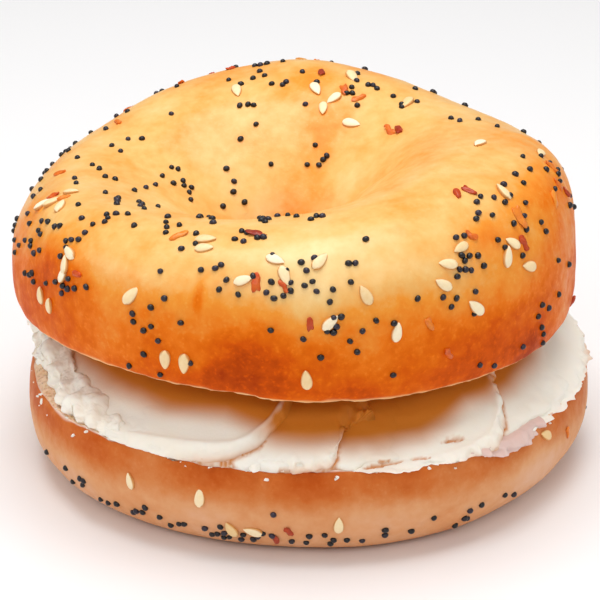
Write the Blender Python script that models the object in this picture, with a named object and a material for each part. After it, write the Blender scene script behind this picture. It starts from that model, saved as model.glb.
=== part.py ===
"""Seeded bagel, cut in two and closed over a thick layer of knife-spread cream cheese.

Own frame: +Z up, the bagel stands on Z = 0 with its middle at the origin, -Y is the front.
Lengths below are in millimetres and angles in degrees. MM turns them into metres.
Azimuth 0 is +X and 90 is the back. A place on a crust is its azimuth and how far across the
crust it lies, from the cut edge (0) to the hole (1).
"""

import math

import bmesh
import bpy
import numpy as np

MM = 0.001
GAP = 0.3

# Bottom half: a low round loaf with a flat foot, cut flat on top.
BASE_WIDEST = 48.9
BASE_BULGE_Z = 10.5
BASE_CUT_IN = 1.3
BASE_FOOT_IN = 9.0
BASE_HOLE = 9.5
BASE_HOLE_FLARE = 5.0
BASE_SHIFT = (0.4, -0.45)
# Rows of eight are sizes at every 45 degrees of azimuth, from the right round by the back.
BASE_CUT_Z = (16.7, 17.0, 17.0, 17.0, 16.9, 17.2, 17.4, 16.2)
# Unevenness round the ring: cycles, size and azimuth of the first peak.
BASE_RADIUS_WAVES = ((1, 0.6, 0.0), (2, 0.7, 40.0), (3, 0.7, 200.0), (5, 0.25, 70.0))
BASE_CUT_WAVES = ((7, 0.12, 30.0),)

# Top half: a tall crown round a wide crater that narrows to the hole.
CROWN_OUTER = (48.4, 47.6, 49.0, 49.3, 48.9, 47.5, 46.8, 47.0)
CROWN_TOP_Z = (56.2, 54.8, 56.5, 51.6, 49.4, 52.2, 54.0, 56.4)
CROWN_CREST = (28.0, 30.0, 32.0, 32.5, 35.5, 34.0, 31.0, 29.0)
CROWN_CUT_Z = (27.3, 26.4, 26.9, 27.5, 27.3, 30.4, 29.3, 27.9)
CROWN_BULGE = 5.2
CROWN_CUT_IN = 1.4
CROWN_HOLE = 8.0
CROWN_HOLE_MIDDLE = (-3.0, -1.5)
CROWN_THROAT_Z = 32.0
# How square the outer side is, by the same eight ways.
CROWN_OUTER_POWER = (3.1, 2.4, 3.0, 2.9, 2.4, 2.9, 2.9, 2.9)
CROWN_INNER_POWER = 1.65
CROWN_SHIFT = (-1.4, -0.75)
CROWN_ROOF_Z = 27.9
CROWN_ROOF_OUT = 16.0

# A fold in the crust on the right side of the crown, where the ring of dough was joined.
SEAM_AZIMUTH = -3.0
SEAM_DEEP = 1.6
SEAM_WIDE = 3.0
SEAM_ACROSS = (0.16, 0.17)

# Shares of a crust's section: where the lip, the outer side and the foot or crest end.
CROWN_PARTS = (0.12, 0.58)
BASE_PARTS = (0.22, 0.55, 0.80)

# Cream cheese: a thick ring under the crown that slopes down from its shoulder to a thin rim,
# strokes of the knife that lie over one another round it, and a torn mass at the left.
CHEESE_HOLE = 13.0
CHEESE_MIDDLE = 24.0
CHEESE_SHOULDER = 34.0
CHEESE_RIM = (48.6, 48.0, 47.4, 47.4, 46.0, 47.6, 47.2, 46.8)
CHEESE_RIM_HIGH = 1.1
# How far the slope goes on, as a share of the way from the shoulder to the rim, and the gap
# left under the crown.
CHEESE_SLOPE_END = 1.1
CHEESE_TOP_GAP = 0.6
# Each stroke: start and end azimuth, inner and outer radius, how far its tip curls inwards,
# and how far the tip stands above the slope. The power says how late along it the curl comes.
CHEESE_STROKES = (
    (314.0, 374.0, 36.0, 49.2, 1.0, 0.9),
    (4.0, 46.0, 36.0, 48.4, 2.0, 1.2),
    (40.0, 82.0, 36.0, 47.8, 3.0, 1.3),
    (74.0, 114.0, 36.0, 47.8, 2.0, 1.2),
    (106.0, 148.0, 36.0, 47.4, 3.0, 1.3),
    (140.0, 184.0, 36.0, 47.4, 1.0, 1.0),
    (177.0, 228.0, 36.0, 46.6, 1.0, 0.4),
    (214.0, 268.5, 36.0, 48.4, 8.0, 1.9),
    (243.0, 282.0, 36.0, 47.7, 0.5, 1.4),
    (274.0, 320.0, 36.0, 48.8, 3.5, 1.7),
)
CURL_POWER = 7.0
# A stroke narrows over this share of its length, to a tip as wide as TIP_FULL leaves it,
# and thins by TIP_THIN there. STROKE_SQUARE is how square its section is, 1 being an ellipse.
# STROKE_UNDER and STROKE_OVER are its least gaps to the crusts, and STROKE_EDGE its least height.
STROKE_THICK = 2.4
STROKE_EDGE = 0.8
STROKE_UNDER = 0.45
STROKE_OVER = 0.9
STROKE_START = -0.9
STROKE_TAPER = 0.56
STROKE_SQUARE = 0.55
TIP_FULL = 0.97
TIP_THIN = 0.4
SECTION_TURN = 0.4
# Lumps of the torn mass: azimuth, radius, height of the middle, and size.
CHEESE_LUMPS = (
    (176.0, 44.4, 22.6, 6.6),
    (186.0, 43.6, 23.0, 6.8),
    (196.0, 42.0, 23.4, 6.4),
    (206.0, 42.2, 23.0, 6.0),
    (214.0, 43.6, 21.6, 5.2),
    (183.0, 44.8, 20.0, 5.2),
    (193.0, 44.6, 19.8, 5.2),
    (203.0, 45.4, 19.6, 4.6),
    (221.0, 46.4, 19.6, 3.8),
)

# Toppings: length, width and height. A seed sinks into the crust by a share of its height.
POPPY = (1.15, 1.0, 0.95)
SESAME = (3.3, 1.75, 0.9)
SESAME_POINTED = 0.28
FLAKE_WIDE = 0.55
FLAKE_HIGH = 0.6
SUNK = 0.36
LEAST_APART = 1.3
SEED_TURN = 0.3
LOOSE_TURN = 35.0
RANDOM_START = 20
# Sides round each kind, and how much fuller one end of a flake is than the other.
FLAKE_SIDES = 5
SESAME_SIDES = 6
POPPY_SIDES = 5
FLAKE_POINTED = 0.1
LUMP_SIDES = 6
LUMP_RINGS = 2
LUMP_FLAT = 0.8

# Where the toppings lie, in drifts: azimuth and across of the middle, spread of both, how many,
# and for sesame and flakes the turn of the long axis from the ring, and a flake's length.
TOP_SESAME = (
    (272, 0.11, 0, 0.00, 1, 100),
    (244, 0.11, 0, 0.00, 1, 269),
    (248, 0.11, 0, 0.00, 1, 268),
    (236, 0.23, 0, 0.00, 1, 54),
    (290, 0.18, 0, 0.00, 1, 79),
    (284, 0.28, 0, 0.00, 1, 114),
    (308, 0.19, 0, 0.00, 1, 130),
    (275, 0.22, 2, 0.02, 2, 40),
    (209, 0.14, 2, 0.01, 2, 60),
    (218, 0.25, 1, 0.05, 3, 115),
    (272, 0.38, 9, 0.03, 5, 10),
    (250, 0.48, 9, 0.03, 3, 15),
    (306, 0.32, 3, 0.05, 3, 160),
    (320, 0.32, 7, 0.06, 4, 120),
    (196, 0.42, 3, 0.08, 4, 110),
    (352, 0.42, 6, 0.12, 2, 120),
    (78, 0.68, 14, 0.06, 6, 120),
    (128, 0.64, 12, 0.03, 2, 100),
    (90, 0.26, 50, 0.11, 11, 90),
)
TOP_FLAKES = (
    (120, 0.45, 0, 0.00, 1, 64, 2.4),
    (326, 0.35, 0, 0.00, 1, 87, 4.0),
    (260, 0.54, 0, 0.00, 1, 5, 3.6),
    (241, 0.51, 0, 0.00, 1, 47, 3.0),
    (262, 0.33, 0, 0.00, 1, 93, 2.8),
    (324, 0.28, 0, 0.00, 1, 107, 2.8),
    (317, 0.51, 2, 0.01, 2, 100, 2.4),
    (75, 0.65, 15, 0.07, 7, 115, 2.6),
    (348, 0.37, 4, 0.07, 4, 60, 2.4),
    (300, 0.30, 6, 0.07, 3, 100, 2.2),
    (272, 0.29, 5, 0.03, 2, 120, 2.3),
    (221, 0.25, 0, 0.00, 1, 173, 2.4),
    (192, 0.48, 8, 0.08, 3, 100, 2.2),
    (95, 0.25, 55, 0.10, 7, 80, 2.3),
)
TOP_POPPIES = (
    (208, 0.22, 8, 0.05, 3),
    (205, 0.36, 6, 0.04, 2),
    (212, 0.50, 6, 0.06, 2),
    (240, 0.20, 6, 0.06, 2),
    (242, 0.55, 7, 0.05, 3),
    (256, 0.32, 7, 0.05, 2),
    (276, 0.22, 6, 0.06, 2),
    (276, 0.40, 8, 0.05, 2),
    (304, 0.27, 7, 0.07, 3),
    (320, 0.40, 6, 0.07, 2),
    (336, 0.20, 6, 0.06, 2),
    (350, 0.35, 7, 0.06, 1),
    (160, 0.66, 10, 0.08, 4),
    (104, 0.63, 8, 0.05, 2),
    (70, 0.62, 14, 0.06, 3),
    (90, 0.28, 55, 0.12, 8),
)
BOTTOM_SESAME = (
    (234, 0.20, 0, 0.00, 1, 102),
    (249, 0.20, 0, 0.00, 1, 90),
    (276, 0.27, 0, 0.00, 1, 89),
    (324, 0.12, 0, 0.00, 1, 152),
    (253, 0.32, 4, 0.01, 2, 155),
    (90, 0.27, 60, 0.06, 6, 90),
)
BOTTOM_FLAKES = (
    (263, 0.30, 2, 0.03, 2, 150, 2.0),
    (75, 0.28, 60, 0.05, 3, 60, 2.2),
)
BOTTOM_POPPIES = (
    (222, 0.27, 9, 0.04, 3),
    (240, 0.32, 6, 0.03, 3),
    (258, 0.32, 5, 0.03, 3),
    (272, 0.33, 6, 0.02, 2),
    (306, 0.30, 9, 0.04, 3),
    (80, 0.30, 60, 0.05, 6),
)
TOP_REACH = (0.06, 0.90)
BOTTOM_REACH = (0.10, 0.37)

# Plain colours of the three layers, as linear red, green and blue.
TOP_COLOUR = (0.75, 0.36, 0.10)
CHEESE_COLOUR = (0.88, 0.82, 0.72)
BOTTOM_COLOUR = (0.55, 0.26, 0.10)

# Steps round the ring, and round each part of its section.
RING_STEPS = 64
CUT_STEPS = 4
LIP_STEPS = 3
OUTER_STEPS = 10
INNER_STEPS = 7
FOOT_STEPS = 6
WALL_STEPS = 3
CORE_STEPS = 30
SLOPE_STEPS = 2
STROKE_STEPS = 7
STROKE_SECTION = 8
SEED_RINGS = 2

# Small steps by which a crust's slope is measured, and the angle above which an edge stays sharp.
TINY_TURN = 0.3
TINY_ACROSS = 0.005
SHARP_ANGLE = 35.0


def wave(azimuth, terms):
    """Slow unevenness round the ring, as a sum of a few whole waves."""
    total = np.zeros_like(azimuth)
    for cycles, size, peak in terms:
        total = total + size * np.cos(cycles * np.radians(azimuth - peak))
    return total


def around(azimuth, sizes):
    """Smooth closed curve through sizes spaced evenly round the ring, as a sum of whole waves."""
    count = len(sizes)
    sizes = np.array(sizes)
    turns = np.radians(azimuth)
    steps = np.arange(count) * 2.0 * np.pi / count
    total = np.full(np.shape(azimuth), sizes.mean())
    for cycles in range(1, count // 2 + 1):
        share = 1.0 / count if cycles * 2 == count else 2.0 / count
        total = total + share * np.sum(sizes * np.cos(cycles * steps)) * np.cos(cycles * turns)
        total = total + share * np.sum(sizes * np.sin(cycles * steps)) * np.sin(cycles * turns)
    return total


def hole_radius(azimuth, radius, middle):
    """Distance from the ring's own middle to a round hole whose middle is off to one side."""
    a = np.radians(azimuth)
    along = middle[0] * np.cos(a) + middle[1] * np.sin(a)
    aside = middle[0] * np.sin(a) - middle[1] * np.cos(a)
    return along + np.sqrt(radius**2 - aside**2)


def quarter(across, start, end):
    """Turn, from 0 to a right angle, of the arc that one part of a section follows."""
    return np.radians(np.clip((across - start) / (end - start), 0.0, 1.0) * 90.0)


def placed(azimuth, radius, height, shift):
    a = np.radians(azimuth)
    x = radius * np.cos(a) + shift[0]
    y = radius * np.sin(a) + shift[1]
    return np.stack([x, y, height], axis=-1)


def crown_surface(azimuth, across):
    """Points of the crown's crust: cut lip, outer side, crest, and the crater's wall down to the hole."""
    outer = around(azimuth, CROWN_OUTER)
    top = around(azimuth, CROWN_TOP_Z)
    crest = around(azimuth, CROWN_CREST)
    cut = around(azimuth, CROWN_CUT_Z)
    hole = hole_radius(azimuth, CROWN_HOLE, CROWN_HOLE_MIDDLE)
    lip = quarter(across, 0.0, CROWN_PARTS[0])
    side = quarter(across, CROWN_PARTS[0], CROWN_PARTS[1])
    wall = quarter(across, CROWN_PARTS[1], 1.0)
    outward = 2.0 / around(azimuth, CROWN_OUTER_POWER)
    inward = 2.0 / CROWN_INNER_POWER
    radius = outer - CROWN_CUT_IN * (1.0 - np.sin(lip))
    radius = radius - (outer - crest) * (1.0 - np.cos(side) ** outward)
    radius = radius - (crest - hole) * np.sin(wall) ** inward
    height = cut + CROWN_BULGE * (1.0 - np.cos(lip))
    height = height + (top - cut - CROWN_BULGE) * np.sin(side) ** outward
    height = height - (top - CROWN_THROAT_Z) * (1.0 - np.cos(wall) ** inward)
    turn = (azimuth - SEAM_AZIMUTH + 180.0) % 360.0 - 180.0
    fold = np.exp(-((turn / SEAM_WIDE) ** 2) - ((across - SEAM_ACROSS[0]) / SEAM_ACROSS[1]) ** 2)
    return placed(azimuth, radius - SEAM_DEEP * fold, height, CROWN_SHIFT)


def crown_underside(azimuth, radius):
    """Height of the crown's cut face: level round the hole, warped with the lip further out."""
    lip_radius = around(azimuth, CROWN_OUTER) - CROWN_CUT_IN
    out = np.clip((radius - CROWN_ROOF_OUT) / (lip_radius - CROWN_ROOF_OUT), 0.0, 1.0)
    ease = out * out * (3.0 - 2.0 * out)
    return CROWN_ROOF_Z + (around(azimuth, CROWN_CUT_Z) - CROWN_ROOF_Z) * ease


def base_cut(azimuth):
    return around(azimuth, BASE_CUT_Z) + wave(azimuth, BASE_CUT_WAVES)


def base_surface(azimuth, across):
    """Points of the bottom crust: cut lip, bulge, round of the foot, flat foot, and the hole's wall."""
    outer = BASE_WIDEST + wave(azimuth, BASE_RADIUS_WAVES)
    cut = base_cut(azimuth)
    lip = quarter(across, 0.0, BASE_PARTS[0])
    foot = quarter(across, BASE_PARTS[0], BASE_PARTS[1])
    flat = np.clip((across - BASE_PARTS[1]) / (BASE_PARTS[2] - BASE_PARTS[1]), 0.0, 1.0)
    wall = quarter(across, BASE_PARTS[2], 1.0)
    radius = outer - BASE_CUT_IN * (1.0 - np.sin(lip)) - BASE_FOOT_IN * (1.0 - np.cos(foot))
    radius = radius + (BASE_HOLE + BASE_HOLE_FLARE - outer + BASE_FOOT_IN) * flat
    radius = radius - BASE_HOLE_FLARE * np.sin(wall)
    height = cut - (cut - BASE_BULGE_Z) * (1.0 - np.cos(lip)) - BASE_BULGE_Z * np.sin(foot)
    height = height + cut * (1.0 - np.cos(wall))
    return placed(azimuth, radius, height, BASE_SHIFT)


def grid_faces(index):
    """Quads of a grid of point numbers that closes on itself along its second side."""
    beside = np.roll(index, -1, axis=1)
    quads = np.stack([index[:-1], beside[:-1], beside[1:], index[1:]], axis=-1)
    return quads.reshape(-1, 4).tolist()


def mesh_of(name, points, faces):
    mesh = bpy.data.meshes.new(name)
    mesh.from_pydata((points.reshape(-1, 3) * MM).tolist(), [], faces)
    mesh.update()
    return mesh


def ring_mesh(name, rows):
    """Closes a grid of points, steps round the ring by steps round the section, into a mesh."""
    index = np.arange(rows.shape[0] * rows.shape[1]).reshape(rows.shape[:2])
    return mesh_of(name, rows, grid_faces(np.concatenate([index, index[:1]])))


def crown_mesh():
    """The section climbs the outer side, so it is taken backwards to face the surface out."""
    lip_end, side_end = CROWN_PARTS
    across = np.concatenate(
        [
            np.linspace(0.0, lip_end, LIP_STEPS, endpoint=False),
            np.linspace(lip_end, side_end, OUTER_STEPS, endpoint=False),
            np.linspace(side_end, 1.0, INNER_STEPS + 1),
        ]
    )
    azimuth = np.arange(RING_STEPS)[:, None] * 360.0 / RING_STEPS
    crust = crown_surface(azimuth + 0.0 * across, 0.0 * azimuth + across)
    inner = hole_radius(azimuth, CROWN_HOLE, CROWN_HOLE_MIDDLE)
    outer = around(azimuth, CROWN_OUTER) - CROWN_CUT_IN
    radius = inner + (outer - inner) * np.arange(CUT_STEPS) / CUT_STEPS
    cut = placed(azimuth + 0.0 * radius, radius, crown_underside(azimuth, radius), CROWN_SHIFT)
    rows = np.concatenate([crust, cut], axis=1)
    return ring_mesh("bagel_top", rows[:, ::-1])


def base_mesh():
    lip_end, foot_end, flat_end = BASE_PARTS
    across = np.concatenate(
        [
            np.linspace(0.0, lip_end, LIP_STEPS, endpoint=False),
            np.linspace(lip_end, foot_end, FOOT_STEPS, endpoint=False),
            np.linspace(foot_end, flat_end, 2, endpoint=False),
            np.linspace(flat_end, 1.0, WALL_STEPS + 1),
        ]
    )
    azimuth = np.arange(RING_STEPS)[:, None] * 360.0 / RING_STEPS
    crust = base_surface(azimuth + 0.0 * across, 0.0 * azimuth + across)
    share = (np.arange(1, CUT_STEPS) / CUT_STEPS)[None, :, None]
    cut = crust[:, -1:] + (crust[:, :1] - crust[:, -1:]) * share
    return ring_mesh("bagel_bottom", np.concatenate([crust, cut], axis=1))


def cheese_slope(azimuth, radius):
    """Height of the cheese: full under the crown, then straight down to its rim."""
    rim = around(azimuth, CHEESE_RIM)
    share = np.clip((radius - CHEESE_SHOULDER) / (rim - CHEESE_SHOULDER), 0.0, CHEESE_SLOPE_END)
    high = crown_underside(azimuth, radius) - CHEESE_TOP_GAP
    low = base_cut(azimuth) + CHEESE_RIM_HIGH
    return high + (low - high) * share


def cheese_core_mesh():
    """The ring of cheese that the crown rests on, with its slope."""
    azimuth = np.arange(CORE_STEPS)[:, None] * 360.0 / CORE_STEPS
    flat = np.array([[CHEESE_HOLE, CHEESE_MIDDLE, CHEESE_SHOULDER]]) + 0.0 * azimuth
    share = (np.arange(SLOPE_STEPS) + 1.0)[None, :] / SLOPE_STEPS
    slope = CHEESE_SHOULDER + (around(azimuth, CHEESE_RIM) - CHEESE_SHOULDER) * share
    radius = np.concatenate([flat, slope], axis=1)
    a = azimuth + 0.0 * radius
    over = placed(a, radius, cheese_slope(a, radius), BASE_SHIFT)
    under = placed(a, radius, base_cut(a) + GAP, BASE_SHIFT)
    return ring_mesh("cream_cheese", np.concatenate([over, under[:, ::-1]], axis=1))


def cheese_stroke_mesh(stroke):
    """One knife stroke: a thin slab down the slope, narrowing to a round tip at both ends."""
    start, end, inner, outer, curl, tip = stroke
    u = np.linspace(0.0, 1.0, STROKE_STEPS)[:, None]
    turn = np.radians((np.arange(STROKE_SECTION)[None, :] + SECTION_TURN) * 360.0 / STROKE_SECTION)
    wide = np.sign(np.cos(turn)) * np.abs(np.cos(turn)) ** STROKE_SQUARE
    high = np.sign(np.sin(turn)) * np.abs(np.sin(turn)) ** STROKE_SQUARE
    near_end = np.clip((np.abs(2.0 * u - 1.0) - 1.0) / STROKE_TAPER + 1.0, 0.0, 1.0)
    taper = np.sqrt(1.0 - (TIP_FULL * near_end) ** 2)
    radius = (inner + outer) / 2.0 - curl * u**CURL_POWER + (outer - inner) / 2.0 * taper * wide
    azimuth = start + (end - start) * u + 0.0 * wide
    rise = STROKE_START + (tip - STROKE_START) * u - TIP_THIN * (1.0 - taper)
    top = cheese_slope(azimuth, radius) + rise
    lowest = base_cut(azimuth) + STROKE_UNDER + STROKE_EDGE * (1.0 + high) / 2.0
    highest = crown_underside(azimuth, radius) - STROKE_OVER
    height = np.clip(top - STROKE_THICK * (1.0 - high) / 2.0, lowest, highest)
    rows = placed(azimuth, radius, height, BASE_SHIFT)
    index = np.arange(STROKE_STEPS * STROKE_SECTION).reshape(STROKE_STEPS, STROKE_SECTION)
    sides = [face[::-1] for face in grid_faces(index)]
    return mesh_of("stroke", rows, sides + [index[0].tolist(), index[-1, ::-1].tolist()])


def seed_mesh(size, segments, rings, pointed, frame, turn):
    """A seed as stacked rings along its long axis, fuller towards one end, laid on the crust."""
    here, along, aside, normal = frame
    t = np.linspace(-1.0, 1.0, rings + 2)[1:-1]
    girth = (np.sqrt(1.0 - t**2) * (1.0 - pointed * t))[:, None]
    turns = np.arange(segments)[None, :] * 2.0 * np.pi / segments + SEED_TURN
    x = np.repeat(t * size[0] / 2.0, segments)
    y = (girth * np.cos(turns)).ravel() * size[1] / 2.0
    z = (girth * np.sin(turns)).ravel() * size[2] / 2.0
    x = np.concatenate([x, [-size[0] / 2.0, size[0] / 2.0]])
    y = np.concatenate([y, [0.0, 0.0]])
    z = np.concatenate([z, [0.0, 0.0]]) + size[2] * (0.5 - SUNK)
    c = math.cos(math.radians(turn))
    s = math.sin(math.radians(turn))
    long_axis = along * c + aside * s
    wide_axis = aside * c - along * s
    points = here + np.outer(x, long_axis) + np.outer(y, wide_axis) + np.outer(z, normal)
    index = np.arange(rings * segments).reshape(rings, segments)
    faces = grid_faces(index)
    first = rings * segments
    for k in range(segments):
        beside = (k + 1) % segments
        faces.append([first, beside, k])
        faces.append([first + 1, int(index[-1, k]), int(index[-1, beside])])
    return mesh_of("seed", points, faces)


def cheese_lump_mesh(lump):
    azimuth, radius, height, size = lump
    here = placed(azimuth, radius, height - size * (0.5 - SUNK), BASE_SHIFT)
    sizes = (size, size, size * LUMP_FLAT)
    return seed_mesh(sizes, LUMP_SIDES, LUMP_RINGS, 0.0, (here, *np.eye(3)), azimuth + 90.0)


def surface_frame(surface, azimuth, across):
    """Point of a crust, its direction along the ring, the one square to it, and its outward normal."""
    here = surface(azimuth, across)
    along = surface(azimuth + TINY_TURN, across) - surface(azimuth - TINY_TURN, across)
    aside = surface(azimuth, across + TINY_ACROSS) - surface(azimuth, across - TINY_ACROSS)
    along = along / np.linalg.norm(along)
    normal = np.cross(along, aside)
    normal = normal / np.linalg.norm(normal)
    if surface is base_surface:
        normal = -normal
    return here, along, np.cross(normal, along), normal


def drawn(random, drift):
    """Places of one drift, drawn at random round its middle: azimuth, across, turn."""
    azimuth, across, wide, deep, count = drift[:5]
    turn = drift[5] if len(drift) > 5 else 0.0
    loose = 0.0 if wide == 0 else LOOSE_TURN
    places = []
    for _ in range(count):
        places.append(
            (
                azimuth + random.normal(0.0, 1.0) * wide,
                across + random.normal(0.0, 1.0) * deep,
                turn + random.normal(0.0, 1.0) * loose,
            )
        )
    return places


def toppings(surface, sesame, flakes, poppies, reach, start):
    """Seed meshes for one crust, largest first, with none nearer another than LEAST_APART."""
    random = np.random.default_rng(start)
    kinds = []
    for drift in flakes:
        size = (drift[6], drift[6] * FLAKE_WIDE, FLAKE_HIGH)
        kinds += [(place, size, FLAKE_SIDES, FLAKE_POINTED) for place in drawn(random, drift)]
    for drift in sesame:
        kinds += [(place, SESAME, SESAME_SIDES, SESAME_POINTED) for place in drawn(random, drift)]
    for drift in poppies:
        kinds += [(place, POPPY, POPPY_SIDES, 0.0) for place in drawn(random, drift)]
    pieces = []
    taken = []
    for (azimuth, across, turn), size, segments, pointed in kinds:
        frame = surface_frame(surface, azimuth, min(max(across, reach[0]), reach[1]))
        if all(np.linalg.norm(frame[0] - other) > LEAST_APART for other in taken):
            taken.append(frame[0])
            pieces.append(seed_mesh(size, segments, SEED_RINGS, pointed, frame, turn))
    return pieces


def drop_scrap(mesh):
    """Keeps the largest connected body of a mesh, so that no crumb of a union lies loose."""
    work = bmesh.new()
    work.from_mesh(mesh)
    left = set(work.verts)
    bodies = []
    while left:
        reached = [left.pop()]
        body = list(reached)
        while reached:
            for edge in reached.pop().link_edges:
                for vert in edge.verts:
                    if vert in left:
                        left.remove(vert)
                        reached.append(vert)
                        body.append(vert)
        bodies.append(body)
    bodies.sort(key=len)
    for body in bodies[:-1]:
        bmesh.ops.delete(work, geom=body, context="VERTS")
    work.to_mesh(mesh)
    work.free()


def fuse(body, pieces):
    """Joins the pieces into the body by one union of their collection, and removes them."""
    collection = bpy.data.collections.new("pieces")
    bpy.context.scene.collection.children.link(collection)
    for mesh in pieces:
        collection.objects.link(bpy.data.objects.new("piece", mesh))
    union = body.modifiers.new("union", "BOOLEAN")
    union.operation = "UNION"
    union.operand_type = "COLLECTION"
    union.collection = collection
    union.solver = "EXACT"
    bpy.context.view_layer.update()
    graph = bpy.context.evaluated_depsgraph_get()
    joined = bpy.data.meshes.new_from_object(body.evaluated_get(graph))
    drop_scrap(joined)
    body.modifiers.clear()
    body.data = joined
    for piece in list(collection.objects):
        bpy.data.objects.remove(piece, do_unlink=True)
    bpy.data.collections.remove(collection)


def make_material(name, colour, roughness):
    material = bpy.data.materials.new(name)
    material.use_nodes = True
    shader = material.node_tree.nodes["Principled BSDF"]
    shader.inputs["Base Color"].default_value = (*colour, 1.0)
    shader.inputs["Roughness"].default_value = roughness
    shader.inputs["Metallic"].default_value = 0.0
    return material


def add_node(name, mesh, pieces, material):
    """One named solid with its pieces fused on, shaded smooth up to its sharp edges."""
    obj = bpy.data.objects.new(name, mesh)
    bpy.context.scene.collection.objects.link(obj)
    fuse(obj, pieces)
    obj.data.name = name
    obj.data.materials.clear()
    obj.data.materials.append(material)
    obj.data.shade_smooth()
    obj.data.set_sharp_from_angle(angle=math.radians(SHARP_ANGLE))
    return obj


def main():
    for obj in list(bpy.data.objects):
        bpy.data.objects.remove(obj, do_unlink=True)
    below = (BOTTOM_SESAME, BOTTOM_FLAKES, BOTTOM_POPPIES)
    above = (TOP_SESAME, TOP_FLAKES, TOP_POPPIES)
    add_node(
        "bagel_bottom",
        base_mesh(),
        toppings(base_surface, *below, BOTTOM_REACH, RANDOM_START + 1),
        make_material("bottom_crust", BOTTOM_COLOUR, 0.6),
    )
    add_node(
        "cream_cheese",
        cheese_core_mesh(),
        [cheese_stroke_mesh(stroke) for stroke in CHEESE_STROKES]
        + [cheese_lump_mesh(lump) for lump in CHEESE_LUMPS],
        make_material("cheese", CHEESE_COLOUR, 0.45),
    )
    add_node(
        "bagel_top",
        crown_mesh(),
        toppings(crown_surface, *above, TOP_REACH, RANDOM_START),
        make_material("top_crust", TOP_COLOUR, 0.45),
    )


main()
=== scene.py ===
import math

import bpy
import mathutils
import numpy as np
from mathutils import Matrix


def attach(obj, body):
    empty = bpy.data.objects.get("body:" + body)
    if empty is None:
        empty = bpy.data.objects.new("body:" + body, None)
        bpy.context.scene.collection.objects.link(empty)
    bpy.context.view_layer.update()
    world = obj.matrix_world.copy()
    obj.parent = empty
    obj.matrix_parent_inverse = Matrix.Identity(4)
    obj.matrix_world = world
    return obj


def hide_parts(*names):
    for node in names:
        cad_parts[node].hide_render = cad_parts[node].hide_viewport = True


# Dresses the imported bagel: crusts with their crumb, cream cheese, seeds, onion flakes, crumbs and a studio.
# Lengths are in millimetres and angles in degrees. mm turns them into metres when a mesh is made.
# Azimuth 0 is +X and 90 is the back. A place on a crust is its azimuth and how far across the
# crust it lies, from the cut edge (0) to the hole (1).

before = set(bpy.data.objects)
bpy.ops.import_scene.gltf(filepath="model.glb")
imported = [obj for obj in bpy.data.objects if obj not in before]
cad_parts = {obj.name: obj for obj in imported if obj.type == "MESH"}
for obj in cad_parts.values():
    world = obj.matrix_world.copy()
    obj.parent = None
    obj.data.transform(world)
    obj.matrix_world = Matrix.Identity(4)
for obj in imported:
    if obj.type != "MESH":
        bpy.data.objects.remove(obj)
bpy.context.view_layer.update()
mm = 0.001
tinyTurn = 0.3
tinyAcross = 0.005
print("frame loaded:", sorted(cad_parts))


# Noise and curves that several pieces use.


def cornerNumber(cell, seed):
    # a steady number from 0 to 1 for each whole-number corner, by mixing its three counts with the seed
    mixed = cell[..., 0] * 374761393 + cell[..., 1] * 668265263 + cell[..., 2] * 1440662683 + seed * 97531
    mixed = mixed & 0xFFFFFFFF
    mixed = ((mixed ^ (mixed >> 13)) * 1274126177) & 0xFFFFFFFF
    mixed = ((mixed ^ (mixed >> 15)) * 2246822519) & 0xFFFFFFFF
    return ((mixed ^ (mixed >> 16)) & 0xFFFF) / 65535.0


def lumps(points, size, seed):
    # smooth noise from -1 to 1: numbers at the corners of cubes of this size, blended by an eased share
    spot = np.asarray(points, float) / size
    cell = np.floor(spot).astype(np.int64)
    share = spot - cell
    share = share * share * share * (share * (share * 6.0 - 15.0) + 10.0)
    total = np.zeros(spot.shape[:-1])
    for corner in range(8):
        step = np.array([corner & 1, (corner >> 1) & 1, (corner >> 2) & 1])
        weight = np.where(step == 1, share, 1.0 - share)
        total = total + cornerNumber(cell + step, seed) * weight[..., 0] * weight[..., 1] * weight[..., 2]
    return total * 2.0 - 1.0


def layered(points, size, seed, layers=3, fade=0.5):
    # lumps of this size plus lumps half as large and fade as strong, and so on
    total = 0.0
    strength = 1.0
    for layer in range(layers):
        total = total + strength * lumps(points, size / 2.0**layer, seed + 31 * layer)
        strength = strength * fade
    return total


def lumped(points, rows):
    # a sum of lumps: size, height and seed of each
    total = 0.0
    for size, high, seed in rows:
        total = total + high * lumps(points, size, seed)
    return total


def ridged(points, size, seed, layers=3):
    # sharp crests where layered noise passes through nought: 1 on a crest, towards 0 between
    total = 0.0
    strength = 1.0
    for layer in range(layers):
        total = total + strength * (1.0 - np.abs(lumps(points, size / 2.0**layer, seed + 17 * layer)) * 2.0)
        strength = strength * 0.5
    return total / (2.0 - 0.5 ** (layers - 1))


def facets(points, size, seed, sharp=9.0):
    # soft facets: every cell of this size has a tilted plane through a point inside it, and the planes are
    # averaged by weights that fall off with the distance to those points, so they meet in soft creases
    spot = np.asarray(points, float) / size
    home = np.floor(spot).astype(np.int64)
    total = np.zeros(spot.shape[:-1])
    weights = np.zeros(spot.shape[:-1])
    for corner in range(27):
        cell = home + np.array([corner % 3 - 1, corner // 3 % 3 - 1, corner // 9 - 1])
        own = np.stack([cornerNumber(cell, seed + 7 * number) for number in range(7)], axis=-1)
        away = spot - cell - own[..., :3]
        near = np.exp(-sharp * np.linalg.norm(away, axis=-1))
        plane = own[..., 6] * 2.0 - 1.0 + 1.6 * ((own[..., 3:6] * 2.0 - 1.0) * away).sum(axis=-1)
        total = total + near * plane
        weights = weights + near
    return total / weights


def eased(value, start, end):
    # 0 before start, 1 after end, and a smooth S between them
    share = np.clip((value - start) / (end - start), 0.0, 1.0)
    return share * share * (3.0 - 2.0 * share)


def turnFrom(azimuth, middle):
    # signed angle from middle to azimuth, between -180 and 180
    return (azimuth - middle + 180.0) % 360.0 - 180.0


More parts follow.
